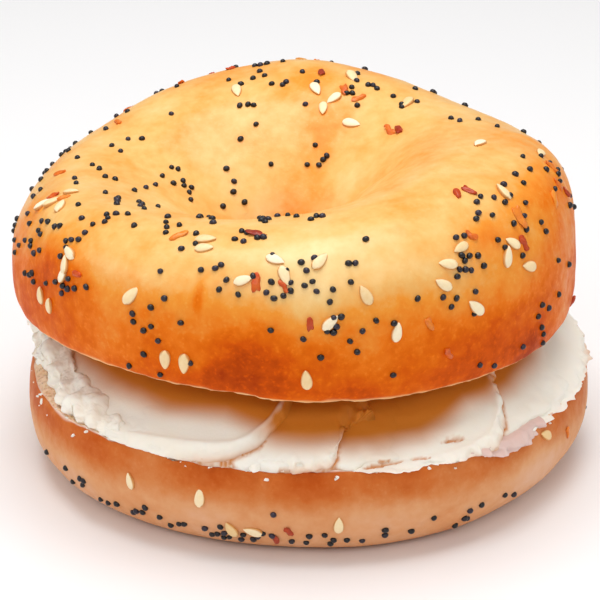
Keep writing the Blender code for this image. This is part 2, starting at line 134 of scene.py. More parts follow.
def unit(vectors):
    return vectors / np.maximum(np.linalg.norm(vectors, axis=-1, keepdims=True), 1e-9)


def wave(azimuth, terms):
    # a sum of whole waves round the ring: size times the cosine of cycles times the turn from the peak
    total = 0.0 * azimuth
    for cycles, size, peak in terms:
        total = total + size * np.cos(cycles * np.radians(azimuth - peak))
    return total


def around(azimuth, sizes):
    # smooth closed curve through sizes spaced evenly round the ring, as a sum of whole waves
    count = len(sizes)
    sizes = np.array(sizes)
    steps = np.arange(count) * 2.0 * np.pi / count
    total = np.full(np.shape(azimuth), sizes.mean())
    for cycles in range(1, count // 2 + 1):
        share = 1.0 / count if cycles * 2 == count else 2.0 / count
        cosine = share * np.sum(sizes * np.cos(cycles * steps))
        sine = share * np.sum(sizes * np.sin(cycles * steps))
        turn = cycles * np.radians(azimuth)
        total = total + cosine * np.cos(turn) + sine * np.sin(turn)
    return total


def holeRadius(azimuth, radius, middle):
    # distance from the ring's own middle to a round hole whose middle is off to one side
    a = np.radians(azimuth)
    along = middle[0] * np.cos(a) + middle[1] * np.sin(a)
    aside = middle[0] * np.sin(a) - middle[1] * np.cos(a)
    return along + np.sqrt(radius**2 - aside**2)


def quarter(across, start, end):
    # turn, from 0 to a right angle, of the arc that one part of a section follows
    return np.radians(np.clip((across - start) / (end - start), 0.0, 1.0) * 90.0)


def placed(azimuth, radius, height, shift):
    # round the ring: radius times the cosine and sine of the azimuth, moved by the half's own shift
    a = np.radians(azimuth)
    return np.stack([radius * np.cos(a) + shift[0], radius * np.sin(a) + shift[1], height + 0.0 * a], axis=-1)


def patches(azimuth, across, rows):
    # a sum of soft oval spots: azimuth, across, spread of both, and how strong
    total = 0.0 * azimuth
    for middle, place, wide, deep, strong in rows:
        away = turnFrom(azimuth, middle) / wide
        total = total + strong * np.exp(-(away**2) - ((across - place) / deep) ** 2)
    return total


def grooves(points, rows):
    # a soft groove along each short line: depth times a bell curve of the distance to the line
    total = np.zeros(points.shape[:-1])
    for start, end, deep, wide in rows:
        start = np.asarray(start)
        line = np.asarray(end) - start
        share = np.clip(((points - start) @ line) / (line @ line), 0.0, 1.0)
        away = np.linalg.norm(points - start - share[..., None] * line, axis=-1)
        total = total - deep * np.sin(np.pi * (0.12 + 0.76 * share)) * np.exp(-((away / wide) ** 2))
    return total


# Making meshes.


def gridFaces(rows, columns, closeRows, closeColumns, first=0):
    # quads between neighbours of a grid of point numbers, closed on itself where asked
    index = first + np.arange(rows * columns).reshape(rows, columns)
    if closeRows:
        index = np.concatenate([index, index[:1]])
    if closeColumns:
        index = np.concatenate([index, index[:, :1]], axis=1)
    return np.stack([index[:-1, :-1], index[1:, :-1], index[1:, 1:], index[:-1, 1:]], axis=-1).reshape(-1, 4)


def gridNormals(points, closeRows, closeColumns):
    # cross product of the two ways of the grid, each taken between a point's two neighbours
    def slope(axis, closed):
        if closed:
            return np.roll(points, -1, axis) - np.roll(points, 1, axis)
        return np.gradient(points, axis=axis)

    return unit(np.cross(slope(0, closeRows), slope(1, closeColumns)))


def addMesh(name, points, faceSets, materials, marks=None, materialOf=None):
    # one object at the origin from points and arrays of faces, smooth shaded: marks are numbers that its
    # points carry, and materialOf says which of the materials each face has
    points = np.asarray(points, float).reshape(-1, 3)
    mesh = bpy.data.meshes.new(name)
    mesh.vertices.add(len(points))
    mesh.vertices.foreach_set("co", (points * mm).ravel())
    corners = np.concatenate([np.asarray(faces).ravel() for faces in faceSets])
    sides = np.concatenate([np.full(len(faces), faces.shape[1]) for faces in faceSets])
    mesh.loops.add(len(corners))
    mesh.loops.foreach_set("vertex_index", corners)
    mesh.polygons.add(len(sides))
    mesh.polygons.foreach_set("loop_start", np.concatenate([[0], np.cumsum(sides)[:-1]]))
    mesh.update(calc_edges=True)
    mesh.polygons.foreach_set("use_smooth", np.ones(len(sides), bool))
    for material in materials:
        mesh.materials.append(material)
    if materialOf is not None:
        mesh.polygons.foreach_set("material_index", np.asarray(materialOf, np.int32))
    for mark, values in (marks or {}).items():
        layer = mesh.attributes.new(mark, "FLOAT", "POINT")
        layer.data.foreach_set("value", np.asarray(values, np.float32).ravel())
    obj = bpy.data.objects.new(name, mesh)
    bpy.context.scene.collection.objects.link(obj)
    return obj


def standFor(piece, node):
    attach(piece, "root")
    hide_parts(node)


# Materials. put() adds one node and fills its sockets; mathNode, ramp and blend are short forms for common
# nodes. Colours are red, green and blue on a screen, of 0 to 255.


def put(tree, kind, settings=None, **values):
    # a value is a socket to link from or a plain value, and its name is the socket's with _ for a space
    node = tree.nodes.new(kind)
    for name, value in (settings or {}).items():
        setattr(node, name, value)
    for name, value in values.items():
        socket = node.inputs[name.replace("_", " ")]
        if isinstance(value, bpy.types.NodeSocket):
            tree.links.new(value, socket)
        else:
            socket.default_value = value
    return node


def mathNode(tree, operation, first, second=0.0, third=0.0):
    # each of the three is a socket or a number
    node = tree.nodes.new("ShaderNodeMath")
    node.operation = operation
    for socket, value in zip(node.inputs, (first, second, third)):
        if isinstance(value, bpy.types.NodeSocket):
            tree.links.new(value, socket)
        else:
            socket.default_value = value
    return node.outputs[0]


def ramp(tree, value, stops):
    # stops are places from 0 to 1, each with its colour
    node = tree.nodes.new("ShaderNodeValToRGB")
    tree.links.new(value, node.inputs["Fac"])
    marks = node.color_ramp.elements
    while len(marks) < len(stops):
        marks.new(0.5)
    for mark, (place, colour) in zip(marks, stops):
        mark.position = place
        mark.color = (*fromScreen(colour), 1.0)
    return node.outputs["Color"]


def fromScreen(colour):
    # screen red, green and blue of 0 to 255, as the linear numbers a shader takes
    levels = np.asarray(colour, float) / 255.0
    return tuple(np.where(levels > 0.04045, ((levels + 0.055) / 1.055) ** 2.4, levels / 12.92).tolist())


def blend(tree, share, first, second):
    # share 0 gives the first colour and 1 the second
    node = tree.nodes.new("ShaderNodeMix")
    node.data_type = "RGBA"
    for socket, value in ((node.inputs[0], share), (node.inputs[6], first), (node.inputs[7], second)):
        if isinstance(value, bpy.types.NodeSocket):
            tree.links.new(value, socket)
        elif isinstance(value, tuple):
            socket.default_value = (*fromScreen(value), 1.0)
        else:
            socket.default_value = value
    return node.outputs[2]


def newGroup(name, inputs, outputs):
    # an effect shared by materials, with named numbers going in and masks coming out
    group = bpy.data.node_groups.new(name, "ShaderNodeTree")
    for label, kind, value in inputs:
        socket = group.interface.new_socket(label, in_out="INPUT", socket_type=kind)
        if value is not None:
            socket.default_value = value
    for label in outputs:
        group.interface.new_socket(label, in_out="OUTPUT", socket_type="NodeSocketFloat")
    return group, group.nodes.new("NodeGroupInput").outputs, group.nodes.new("NodeGroupOutput").inputs


def stretched(tree, value, low, high, first=0.0, last=1.0):
    # first where the value is low or less, last where it is high or more, and straight between
    ends = {"From_Min": low, "From_Max": high, "To_Min": first, "To_Max": last}
    return put(tree, "ShaderNodeMapRange", Value=value, **ends).outputs[0]


def roundCells(tree, vector, scale):
    # distance from the middles of soft round cells
    node = put(tree, "ShaderNodeTexVoronoi", {"feature": "SMOOTH_F1"}, Vector=vector, Scale=scale)
    return node.outputs["Distance"]


def makeMottle():
    # soft cloudy unevenness: layered noise stretched about its middle by Contrast
    inputs = [("Vector", "NodeSocketVector", None), ("Scale", "NodeSocketFloat", 200.0)]
    inputs += [("Detail", "NodeSocketFloat", 3.0), ("Contrast", "NodeSocketFloat", 1.0)]
    group, given, results = newGroup("mottle", inputs, ["Value"])
    noise = put(group, "ShaderNodeTexNoise", Vector=given[0], Scale=given[1], Detail=given[2])
    centred = mathNode(group, "SUBTRACT", noise.outputs["Fac"], 0.5)
    group.links.new(mathNode(group, "MULTIPLY_ADD", centred, given[3], 0.5), results[0])
    return group


def makeBlister():
    # the fine blisters of a boiled and baked skin: small round cells, brighter and higher in their middles
    inputs = [("Vector", "NodeSocketVector", None), ("Scale", "NodeSocketFloat", 1200.0)]
    group, given, results = newGroup("blister", inputs, ["Spots", "Height"])
    warp = put(group, "ShaderNodeTexNoise", Vector=given[0], Scale=400.0, Detail=2.0)
    shift = put(group, "ShaderNodeVectorMath", {"operation": "SCALE"}, Scale=0.0012)
    group.links.new(warp.outputs["Color"], shift.inputs[0])
    moved = put(group, "ShaderNodeVectorMath", {"operation": "ADD"})
    group.links.new(given[0], moved.inputs[0])
    group.links.new(shift.outputs[0], moved.inputs[1])
    near = stretched(group, roundCells(group, moved.outputs[0], given[1]), 0.15, 0.6, 1.0, 0.0)
    pick = put(group, "ShaderNodeTexNoise", Vector=given[0], Scale=900.0, Detail=3.0, Roughness=0.7)
    some = stretched(group, pick.outputs["Fac"], 0.45, 0.62)
    spots = mathNode(group, "MULTIPLY", near, some)
    group.links.new(spots, results[0])
    group.links.new(mathNode(group, "MULTIPLY_ADD", spots, 0.6, pick.outputs["Fac"]), results[1])
    return group


def makePores():
    # bread crumb: rounded pores of two sizes, 1 at the bottom of a pore
    inputs = [("Vector", "NodeSocketVector", None), ("Scale", "NodeSocketFloat", 600.0)]
    group, given, results = newGroup("pores", inputs, ["Pores"])
    large = roundCells(group, given[0], given[1])
    small = roundCells(group, given[0], mathNode(group, "MULTIPLY", given[1], 2.7))
    wall = mathNode(group, "MULTIPLY", stretched(group, large, 0.1, 0.45), stretched(group, small, 0.1, 0.5))
    group.links.new(mathNode(group, "SUBTRACT", 1.0, wall), results[0])
    return group


mottle = makeMottle()
blister = makeBlister()
pores = makePores()


def useGroup(tree, group, vector, **values):
    # one shared effect in a material, with its named inputs filled
    node = put(tree, "ShaderNodeGroup", {"node_tree": group})
    tree.links.new(vector, node.inputs["Vector"])
    for name, value in values.items():
        if isinstance(value, bpy.types.NodeSocket):
            tree.links.new(value, node.inputs[name])
        else:
            node.inputs[name].default_value = value
    return node


def clouds(tree, vector, scale, detail, contrast):
    # the mottle with these numbers: cycles to a metre, detail and contrast
    return useGroup(tree, mottle, vector, Scale=scale, Detail=detail, Contrast=contrast).outputs[0]


def newMaterial(name, roughness, specular):
    # its tree, its shader and the Object coordinates that its textures read
    material = bpy.data.materials.new(name)
    material.use_nodes = True
    tree = material.node_tree
    shader = tree.nodes["Principled BSDF"]
    shader.inputs["Roughness"].default_value = roughness
    shader.inputs["Specular IOR Level"].default_value = specular
    vector = put(tree, "ShaderNodeTexCoord").outputs["Object"]
    return material, tree, shader, vector


def mark(tree, name):
    # a number that the mesh carries at each point
    return put(tree, "ShaderNodeAttribute", {"attribute_name": name}).outputs["Fac"]


def bump(tree, shader, height, distance, strength=1.0):
    # fine relief as deep as the distance, in millimetres
    node = put(tree, "ShaderNodeBump", Height=height, Distance=distance * mm, Strength=strength)
    tree.links.new(node.outputs["Normal"], shader.inputs["Normal"])


crustLook = {
    "roughness": 0.46,
    "roughnessSpread": (-0.06, 0.12),
    "specular": 0.06,
    # cloudy unevenness of the browning, wide and fine: cycles to a metre, detail, contrast and how much
    "wideClouds": (95.0, 2.0, 1.0, 0.30),
    "fineClouds": (520.0, 4.0, 1.2, 0.22),
    # the shine of the skin, where it is least baked
    "coat": 0.55,
    "coatRoughness": 0.30,
    "coatFades": (0.30, 0.70),
    # colour of the crust from least to most baked
    "stops": (
        (0.00, (246, 210, 144)),
        (0.22, (242, 186, 106)),
        (0.42, (242, 152, 50)),
        (0.62, (236, 118, 10)),
        (0.80, (214, 86, 2)),
        (1.00, (160, 50, 2)),
    ),
    # the pale film along the cut edge
    "bareColour": (248, 206, 146),
    # fine blisters: cycles to a metre, and the depth and strength of their relief
    "blisterScale": 1500.0,
    "blisterRelief": (0.12, 0.5),
    # how much of the browning a blister takes away
    "speckle": 0.14,
}


def makeCrust(name, look):
    # browning from the mark "baked", broken up by cloudy noise and by fine blisters that stay paler; on the
    # front of the crown the mark also carries a painted highlight
    material, tree, shader, vector = newMaterial(name, look["roughness"], look["specular"])
    skin = useGroup(tree, blister, vector, Scale=look["blisterScale"])
    baked = mark(tree, "baked")
    total = baked
    for scale, detail, contrast, strong in (look["wideClouds"], look["fineClouds"]):
        fine = clouds(tree, vector, scale, detail, contrast)
        total = mathNode(tree, "MULTIPLY_ADD", mathNode(tree, "SUBTRACT", fine, 0.5), strong, total)
    paler = mathNode(tree, "MULTIPLY", baked, look["speckle"])
    spots = mathNode(tree, "MULTIPLY", skin.outputs["Spots"], paler)
    total = mathNode(tree, "SUBTRACT", total, spots)
    colour = ramp(tree, total, look["stops"])
    filmed = blend(tree, mark(tree, "bare"), colour, look["bareColour"])
    tree.links.new(filmed, shader.inputs["Base Color"])
    low, high = [look["roughness"] + spread for spread in look["roughnessSpread"]]
    tree.links.new(stretched(tree, fine, 0.2, 0.8, low, high), shader.inputs["Roughness"])
    shine = stretched(tree, total, *look["coatFades"], look["coat"], 0.0)
    tree.links.new(shine, shader.inputs["Coat Weight"])
    shader.inputs["Coat Roughness"].default_value = look["coatRoughness"]
    height = mathNode(tree, "MULTIPLY_ADD", skin.outputs["Height"], 0.5, fine)
    bump(tree, shader, height, *look["blisterRelief"])
    return material


crumbLook = {
    "roughness": 0.75,
    "specular": 0.15,
    # cloudy unevenness: cycles to a metre, detail and contrast
    "clouds": (160.0, 3.0, 1.6),
    # how far the pores and the clouds turn the pale colour to the brown one
    "shades": (0.35, 0.6),
    # depth and strength of the pores' relief
    "poreRelief": (0.5, 0.8),
    # light let in: how much, and how far in red, green and blue
    "subsurface": (0.25, (1.2, 0.7, 0.35)),
    # the cut faces of the crown and of the bottom half: pale and brown colour, and the pores' cycles to a metre
    "toastedCrumb": ((214, 138, 66), (176, 96, 34), 520.0),
    "paleCrumb": ((251, 222, 192), (232, 180, 132), 620.0),
}
cheeseLook = {
    "roughness": 0.50,
    "specular": 0.16,
    "subsurface": (0.15, (2.0, 1.4, 1.0)),
    "colours": ((255, 250, 238), (253, 243, 226)),
    # painted shade deep under the crown and beside torn edges, and the colour where it is only a film
    "paintedShadeColour": (206, 122, 36),
    "filmColour": (222, 184, 176),
    # unevenness, wide and fine: cycles to a metre, detail and contrast, then the relief's depth and strength
    "clouds": (120.0, 3.0, 1.4),
    "grain": (1500.0, 4.0, 1.0),
    "grainRelief": (0.10, 0.35),
}


def letLightIn(shader, subsurface):
    weight, reach = subsurface
    shader.inputs["Subsurface Weight"].default_value = weight
    shader.inputs["Subsurface Radius"].default_value = [part * mm for part in reach]
    shader.inputs["Subsurface Scale"].default_value = 1.0


def makeCrumb(name):
    # bread crumb: pores and clouds turn the pale colour to the brown one
    pale, brown, scale = crumbLook[name]
    material, tree, shader, vector = newMaterial(name, crumbLook["roughness"], crumbLook["specular"])
    holes = useGroup(tree, pores, vector, Scale=scale).outputs[0]
    poreShade, cloudShade = crumbLook["shades"]
    cloudy = mathNode(tree, "MULTIPLY", clouds(tree, vector, *crumbLook["clouds"]), cloudShade)
    shade = mathNode(tree, "MULTIPLY_ADD", holes, poreShade, cloudy)
    tree.links.new(blend(tree, shade, pale, brown), shader.inputs["Base Color"])
    bump(tree, shader, mathNode(tree, "SUBTRACT", 1.0, holes), *crumbLook["poreRelief"])
    letLightIn(shader, crumbLook["subsurface"])
    return material


def makeCheese(name):
    # cream cheese: a soft white with a faint grain, with a warm brown painted shade where it lies deep under
    # the crown, and pinkish where it is only a film
    material, tree, shader, vector = newMaterial(name, cheeseLook["roughness"], cheeseLook["specular"])
    colour = blend(tree, clouds(tree, vector, *cheeseLook["clouds"]), *cheeseLook["colours"])
    # the deep mark paints a warm brown shade: under the crown, in the hollows and beside torn edges
    shadedColour = blend(tree, mark(tree, "deep"), colour, cheeseLook["paintedShadeColour"])
    film = blend(tree, mark(tree, "thin"), shadedColour, cheeseLook["filmColour"])
    tree.links.new(film, shader.inputs["Base Color"])
    letLightIn(shader, cheeseLook["subsurface"])
    bump(tree, shader, clouds(tree, vector, *cheeseLook["grain"]), *cheeseLook["grainRelief"])
    return material


seedLooks = {
    # colours from the darkest to the palest, and the grain's cycles to a metre and depth
    "poppyBlue": {
        "stops": ((0.0, (9, 5, 8)), (0.5, (17, 11, 17)), (1.0, (46, 36, 54))),
        "roughness": 0.32,
        "specular": 0.5,
        "grain": 3000.0,
        "grainDeep": 0.06,
    },
    "sesameCream": {
        "stops": ((0.0, (242, 204, 144)), (0.5, (250, 226, 180)), (1.0, (255, 242, 212))),
        "rimColour": (214, 150, 78),
        "roughness": 0.42,
        "specular": 0.35,
        "grain": 1800.0,
        "grainDeep": 0.05,
    },
    "onionRed": {
        "stops": ((0.0, (134, 26, 8)), (0.45, (206, 74, 14)), (1.0, (242, 146, 40))),
        "roughness": 0.35,
        "specular": 0.4,
        "grain": 900.0,
        "grainDeep": 0.12,
    },
}


def makeSeed(name):
    # each seed has its own tone along the ramp, and fine noise over it
    look = seedLooks[name]
    material, tree, shader, vector = newMaterial(name, look["roughness"], look["specular"])
    fine = clouds(tree, vector, look["grain"], 3.0, 1.3)
    tone = mathNode(tree, "MULTIPLY_ADD", mathNode(tree, "SUBTRACT", fine, 0.5), 0.35, mark(tree, "tone"))
    colour = ramp(tree, tone, look["stops"])
    if "rimColour" in look:
        colour = blend(tree, mark(tree, "rim"), colour, look["rimColour"])
    tree.links.new(colour, shader.inputs["Base Color"])
    bump(tree, shader, fine, look["grainDeep"], 0.6)
    return material


topCrust = makeCrust("goldenCrust", crustLook)
# the bottom crust is duller and paler
bottomLook = {
    **crustLook,
    "roughness": 0.5,
    "specular": 0.12,
    "coat": 0.0,
    "bareColour": (244, 220, 204),
    "speckle": 0.10,
    "stops": (
        (0.00, (232, 182, 146)),
        (0.25, (226, 162, 112)),
        (0.45, (216, 136, 78)),
        (0.65, (206, 108, 44)),
        (0.82, (192, 84, 18)),
        (1.00, (158, 58, 8)),
    ),
}
bottomCrust = makeCrust("bottomCrust", bottomLook)
toastedCrumb = makeCrumb("toastedCrumb")
paleCrumb = makeCrumb("paleCrumb")
creamCheese = makeCheese("creamCheese")
poppyBlue = makeSeed("poppyBlue")
sesameCream = makeSeed("sesameCream")
onionRed = makeSeed("onionRed")
print("materials made:", len(bpy.data.materials))


# The crown: a tall ring round a wide crater that narrows to the hole.

crown = {
    # rows of eight are sizes at every 45 degrees, from the right round by the back
    "outer": (48.4, 47.6, 49.0, 49.3, 48.9, 47.5, 46.8, 47.0),
    # heights of the crest, its distance from the middle, and heights of the cut edge
    "topZ": (56.2, 54.8, 56.5, 51.6, 49.4, 52.2, 54.0, 56.4),
    "crest": (28.0, 30.0, 32.0, 32.5, 35.5, 34.0, 31.0, 29.0),
    "cutZ": (27.3, 26.4, 26.9, 27.5, 27.3, 30.4, 29.3, 27.9),
    # the widest ring lies this far above the cut edge, which is drawn in by cutIn
    "bulge": 5.2,
    "cutIn": 1.4,
    "hole": 8.0,
    "holeMiddle": (-3.0, -1.5),
    "throatZ": 32.0,
    # how square the outer side and the crater's wall are: 2 is round
    "outerPower": (3.1, 2.4, 3.0, 2.9, 2.4, 2.9, 2.9, 2.9),
    "innerPower": 1.65,
    "shift": (-1.4, -0.75),
    # the cut face: its height round the hole, and the radius out to which it stays level
    "roofZ": 27.9,
    "roofOut": 16.0,
    # shares of the section at which the lip and the outer side end
    "parts": (0.12, 0.58),
    # a fold in the skin on the right, where the ring of dough was joined: azimuth, depth, width, and its
    # middle and reach as shares across
    "seam": (-3.0, 1.6, 3.0, 0.16, 0.17),
    # lumps of the skin: size, height and seed of each
    "relief": ((12.0, 0.30, 3), (5.0, 0.12, 5), (2.0, 0.035, 7)),
    # points round the ring and along each part of its section
    "steps": 400,
    "lipSteps": 18,
    "outerSteps": 84,
    "innerSteps": 60,
    "cutSteps": 26,
    # soft patches of browning: azimuth, across, spread of both, and how much; the two pale ones at azimuth 276
    # are a painted highlight
    "browning": (
        (210.0, 0.24, 13.0, 0.09, 0.34),
        (197.0, 0.34, 14.0, 0.08, 0.14),
        (250.6, 0.27, 1.1, 0.06, 0.30),
        (262.0, 0.08, 14.0, 0.05, 0.10),
        (278.0, 0.13, 22.0, 0.06, 0.06),
        # painted highlight on the front of the crown
        (276.0, 0.40, 16.0, 0.09, -0.22),
        (318.0, 0.34, 11.0, 0.06, 0.20),
        (345.0, 0.34, 14.0, 0.10, 0.38),
        (330.0, 0.22, 16.0, 0.07, 0.12),
        (300.0, 0.23, 12.0, 0.05, 0.10),
        (315.0, 0.13, 9.0, 0.05, 0.14),
        # painted highlight band on the front of the crown
        (276.0, 0.27, 18.0, 0.06, -0.15),
        (82.0, 0.62, 26.0, 0.12, 0.10),
        (312.0, 0.22, 12.0, 0.05, -0.08),
        (75.0, 0.74, 12.0, 0.07, 0.16),
        (168.0, 0.52, 18.0, 0.08, -0.10),
    ),
    # wrinkles and nicks: start and end as azimuth and across, depth and width
    "wrinkles": (
        ((252.0, 0.35), (248.8, 0.19), 0.42, 0.32),
        ((251.0, 0.30), (249.6, 0.22), 0.25, 0.30),
        ((247.4, 0.21), (248.2, 0.14), 0.22, 0.30),
        ((253.8, 0.11), (254.2, 0.00), 0.50, 0.32),
        ((352.0, 0.74), (20.0, 0.82), 0.55, 1.30),
        ((331.0, 0.52), (341.0, 0.72), 0.30, 1.20),
    ),
    # where the cut edge is jagged: azimuth, spread, and how much
    "jagged": (260.5, 4.0, 0.9),
}


def crownForm(azimuth, across):
    # cut lip, outer side, crest, and the crater's wall: arcs between the sizes, squared by the two powers
    outer = around(azimuth, crown["outer"])
    top = around(azimuth, crown["topZ"])
    crest = around(azimuth, crown["crest"])
    cut = around(azimuth, crown["cutZ"])
    hole = holeRadius(azimuth, crown["hole"], crown["holeMiddle"])
    lip = quarter(across, 0.0, crown["parts"][0])
    side = quarter(across, crown["parts"][0], crown["parts"][1])
    wall = quarter(across, crown["parts"][1], 1.0)
    outward = 2.0 / around(azimuth, crown["outerPower"])
    inward = 2.0 / crown["innerPower"]
    radius = outer - crown["cutIn"] * (1.0 - np.sin(lip))
    radius = radius - (outer - crest) * (1.0 - np.cos(side) ** outward)
    radius = radius - (crest - hole) * np.sin(wall) ** inward
    height = cut + crown["bulge"] * (1.0 - np.cos(lip))
    height = height + (top - cut - crown["bulge"]) * np.sin(side) ** outward
    height = height - (top - crown["throatZ"]) * (1.0 - np.cos(wall) ** inward)
    middle, deep, wide, place, reach = crown["seam"]
    fold = np.exp(-((turnFrom(azimuth, middle) / wide) ** 2) - ((across - place) / reach) ** 2)
    return placed(azimuth, radius - deep * fold, height, crown["shift"])


def crownRoof(azimuth, radius):
    # height of the crown's cut face: level round the hole, warped with the lip further out
    lipRadius = around(azimuth, crown["outer"]) - crown["cutIn"]
    ease = eased(radius, crown["roofOut"], lipRadius)
    return crown["roofZ"] + (around(azimuth, crown["cutZ"]) - crown["roofZ"]) * ease


def crustFrame(form, azimuth, across, facing):
    # the point, the way along the ring, the way up the section and the outward normal, from two small steps
    here = form(azimuth, across)
    along = unit(form(azimuth + tinyTurn, across) - form(azimuth - tinyTurn, across))
    aside = form(azimuth, across + tinyAcross) - form(azimuth, across - tinyAcross)
    normal = unit(np.cross(along, aside)) * facing
    return here, along, np.cross(normal, along), normal


def crownRelief(points, azimuth, across):
    # slow and quick lumps of the skin, its wrinkles, the sharp bottom of the fold, and a torn lip
    relief = lumped(points, crown["relief"])
    rows = []
    for start, end, deep, wide in crown["wrinkles"]:
        ends = [crownForm(np.array(spot[0]), np.array(spot[1])) for spot in (start, end)]
        rows.append((ends[0], ends[1], deep, wide))
    relief = relief + grooves(points, rows)
    middle, deep, wide, place, reach = crown["seam"]
    near = turnFrom(azimuth, middle + 1.2 * np.sin(across * 14.0))
    relief = relief - 0.8 * np.exp(-((near / 0.8) ** 2) - ((across - place) / (reach * 0.9)) ** 2)
    edge = 1.0 - eased(across, 0.0, 0.05)
    middle, wide, more = crown["jagged"]
    rough = 0.16 + more * np.exp(-((turnFrom(azimuth, middle) / wide) ** 2)) * 0.5
    return relief + edge * rough * layered(points, 1.6, 11)


def crownSkin(azimuth, across):
    here, _, _, normal = crustFrame(crownForm, azimuth, across, 1.0)
    return here + normal * crownRelief(here, azimuth, across)[..., None]


def crownBaked(points, azimuth, across):
    # most baked low on the sides, pale on the crest and in the crater
    side = 1.0 - eased(across, 0.05, 0.36)
    front = 0.5 + 0.5 * np.cos(np.radians(azimuth - 275.0))
    baked = 0.25 + (0.32 + 0.22 * front) * side
    baked = baked + 0.10 * lumps(points, 9.0, 21) + 0.05 * lumps(points, 3.5, 23)
    # the patches add browning, and a painted highlight on the front
    return baked + patches(azimuth, across, crown["browning"])


def spaced(start, end, steps, ends=False):
    # shares from start to end that crowd towards both ends, for arcs that curve hardest there
    share = np.arange(steps + (1 if ends else 0)) / steps
    return start + (end - start) * (0.5 - 0.5 * np.cos(np.pi * share))


def makeCrown():
    lipEnd, sideEnd = crown["parts"]
    across = np.concatenate(
        [
            np.linspace(0.0, lipEnd, crown["lipSteps"], endpoint=False),
            spaced(lipEnd, sideEnd, crown["outerSteps"]),
            np.linspace(sideEnd, 1.0, crown["innerSteps"] + 1),
        ]
    )
    turns = np.arange(crown["steps"])[:, None] * 360.0 / crown["steps"]
    azimuth, across = np.broadcast_arrays(turns, across[None, :])
    skin = crownSkin(azimuth, across)
    inner = skin[:, -1:]
    outer = skin[:, :1]
    share = (np.arange(1, crown["cutSteps"]) / crown["cutSteps"])[None, :, None]
    cut = inner + (outer - inner) * share
    cutRadius = np.linalg.norm(cut[..., :2] - np.array(crown["shift"]), axis=-1)
    roof = crownRoof(turns + 0.0 * cutRadius, cutRadius)
    torn = 0.30 * layered(cut, 3.0, 41) + 0.18 * ridged(cut, 1.4, 43)
    fade = np.sin(np.pi * share[..., 0]) ** 0.5
    cut[..., 2] = cut[..., 2] * (1.0 - fade) + (roof + torn) * fade
    points = np.concatenate([skin, cut], axis=1)
    rows, columns = points.shape[:2]
    baked = crownBaked(skin, azimuth, across)
    bare = (1.0 - eased(across, 0.020, 0.038 + 0.014 * lumps(skin, 2.0, 51))) * 0.85
    fill = np.zeros(cut.shape[:2])
    marks = {
        "baked": np.concatenate([baked, fill + 0.3], axis=1),
        "bare": np.concatenate([bare, fill + 1.0], axis=1),
    }
    crumbFaces = np.zeros((rows, columns), int)
    crumbFaces[:, skin.shape[1] - 1 :] = 1
    faces = gridFaces(rows, columns, True, True)
    return addMesh("topHalf", points, [faces], [topCrust, toastedCrumb], marks, crumbFaces.ravel())


topHalf = makeCrown()
standFor(topHalf, "bagel_top")
print("top half made:", len(topHalf.data.polygons), "faces")


# The bottom half: a low round loaf with a flat foot, cut flat on top.

base = {
    # the widest ring and its height
    "widest": 48.9,
    "bulgeZ": 10.5,
    # a row of eight, as in the crown
    "cutZ": (16.7, 17.0, 17.0, 17.0, 16.9, 17.2, 17.4, 16.2),
    # how far the cut edge, the foot and the bottom of the hole are drawn in or widened
    "cutIn": 1.3,
    "footIn": 9.0,
    "hole": 9.5,
    "holeFlare": 5.0,
    "shift": (0.4, -0.45),
    # waves round the ring: cycles, size and azimuth of the peak
    "radiusWaves": ((1, 0.6, 0.0), (2, 0.7, 40.0), (3, 0.7, 200.0), (5, 0.25, 70.0)),
    "cutWaves": ((7, 0.12, 30.0),),
    # shares of the section at which the lip, the foot's round and the flat foot end
    "parts": (0.22, 0.55, 0.80),
    "relief": ((11.0, 0.22, 103), (4.5, 0.10, 105), (1.8, 0.03, 107)),
    "steps": 400,
    "lipSteps": 34,
    "footSteps": 40,
    "flatSteps": 24,
    "wallSteps": 16,
    "cutSteps": 50,
    # as in the crown
    "browning": (
        (207.0, 0.10, 8.0, 0.05, 0.16),
        (255.0, 0.08, 20.0, 0.06, 0.10),
        (345.0, 0.16, 18.0, 0.10, -0.14),
        (322.0, 0.26, 14.0, 0.14, -0.16),
        (205.0, 0.30, 16.0, 0.14, -0.08),
    ),
    # where the crumb tore up beside the cheese: azimuth, radius, spread of both, and how high
    "lifted": (190.0, 46.4, 15.0, 1.6, 1.3),
    # nicks in the cut edge: azimuth, width and depth
    "nicks": ((243.0, 1.6, 1.3), (251.5, 1.2, 0.5), (262.0, 2.5, 0.4), (228.0, 1.5, 0.4), (283.0, 2.0, 0.5)),
}


def baseCut(azimuth):
    return around(azimuth, base["cutZ"]) + wave(azimuth, base["cutWaves"])


def baseForm(azimuth, across):
    # cut lip, bulge, round of the foot, flat foot and the hole's wall, each a quarter arc between the sizes
    outer = base["widest"] + wave(azimuth, base["radiusWaves"])
    cut = baseCut(azimuth)
    lipEnd, footEnd, flatEnd = base["parts"]
    lip = quarter(across, 0.0, lipEnd)
    foot = quarter(across, lipEnd, footEnd)
    flat = np.clip((across - footEnd) / (flatEnd - footEnd), 0.0, 1.0)
    wall = quarter(across, flatEnd, 1.0)
    radius = outer - base["cutIn"] * (1.0 - np.sin(lip)) - base["footIn"] * (1.0 - np.cos(foot))
    radius = radius + (base["hole"] + base["holeFlare"] - outer + base["footIn"]) * flat
    radius = radius - base["holeFlare"] * np.sin(wall)
    height = cut - (cut - base["bulgeZ"]) * (1.0 - np.cos(lip)) - base["bulgeZ"] * np.sin(foot)
    height = height + cut * (1.0 - np.cos(wall))
    return placed(azimuth, radius, height, base["shift"])


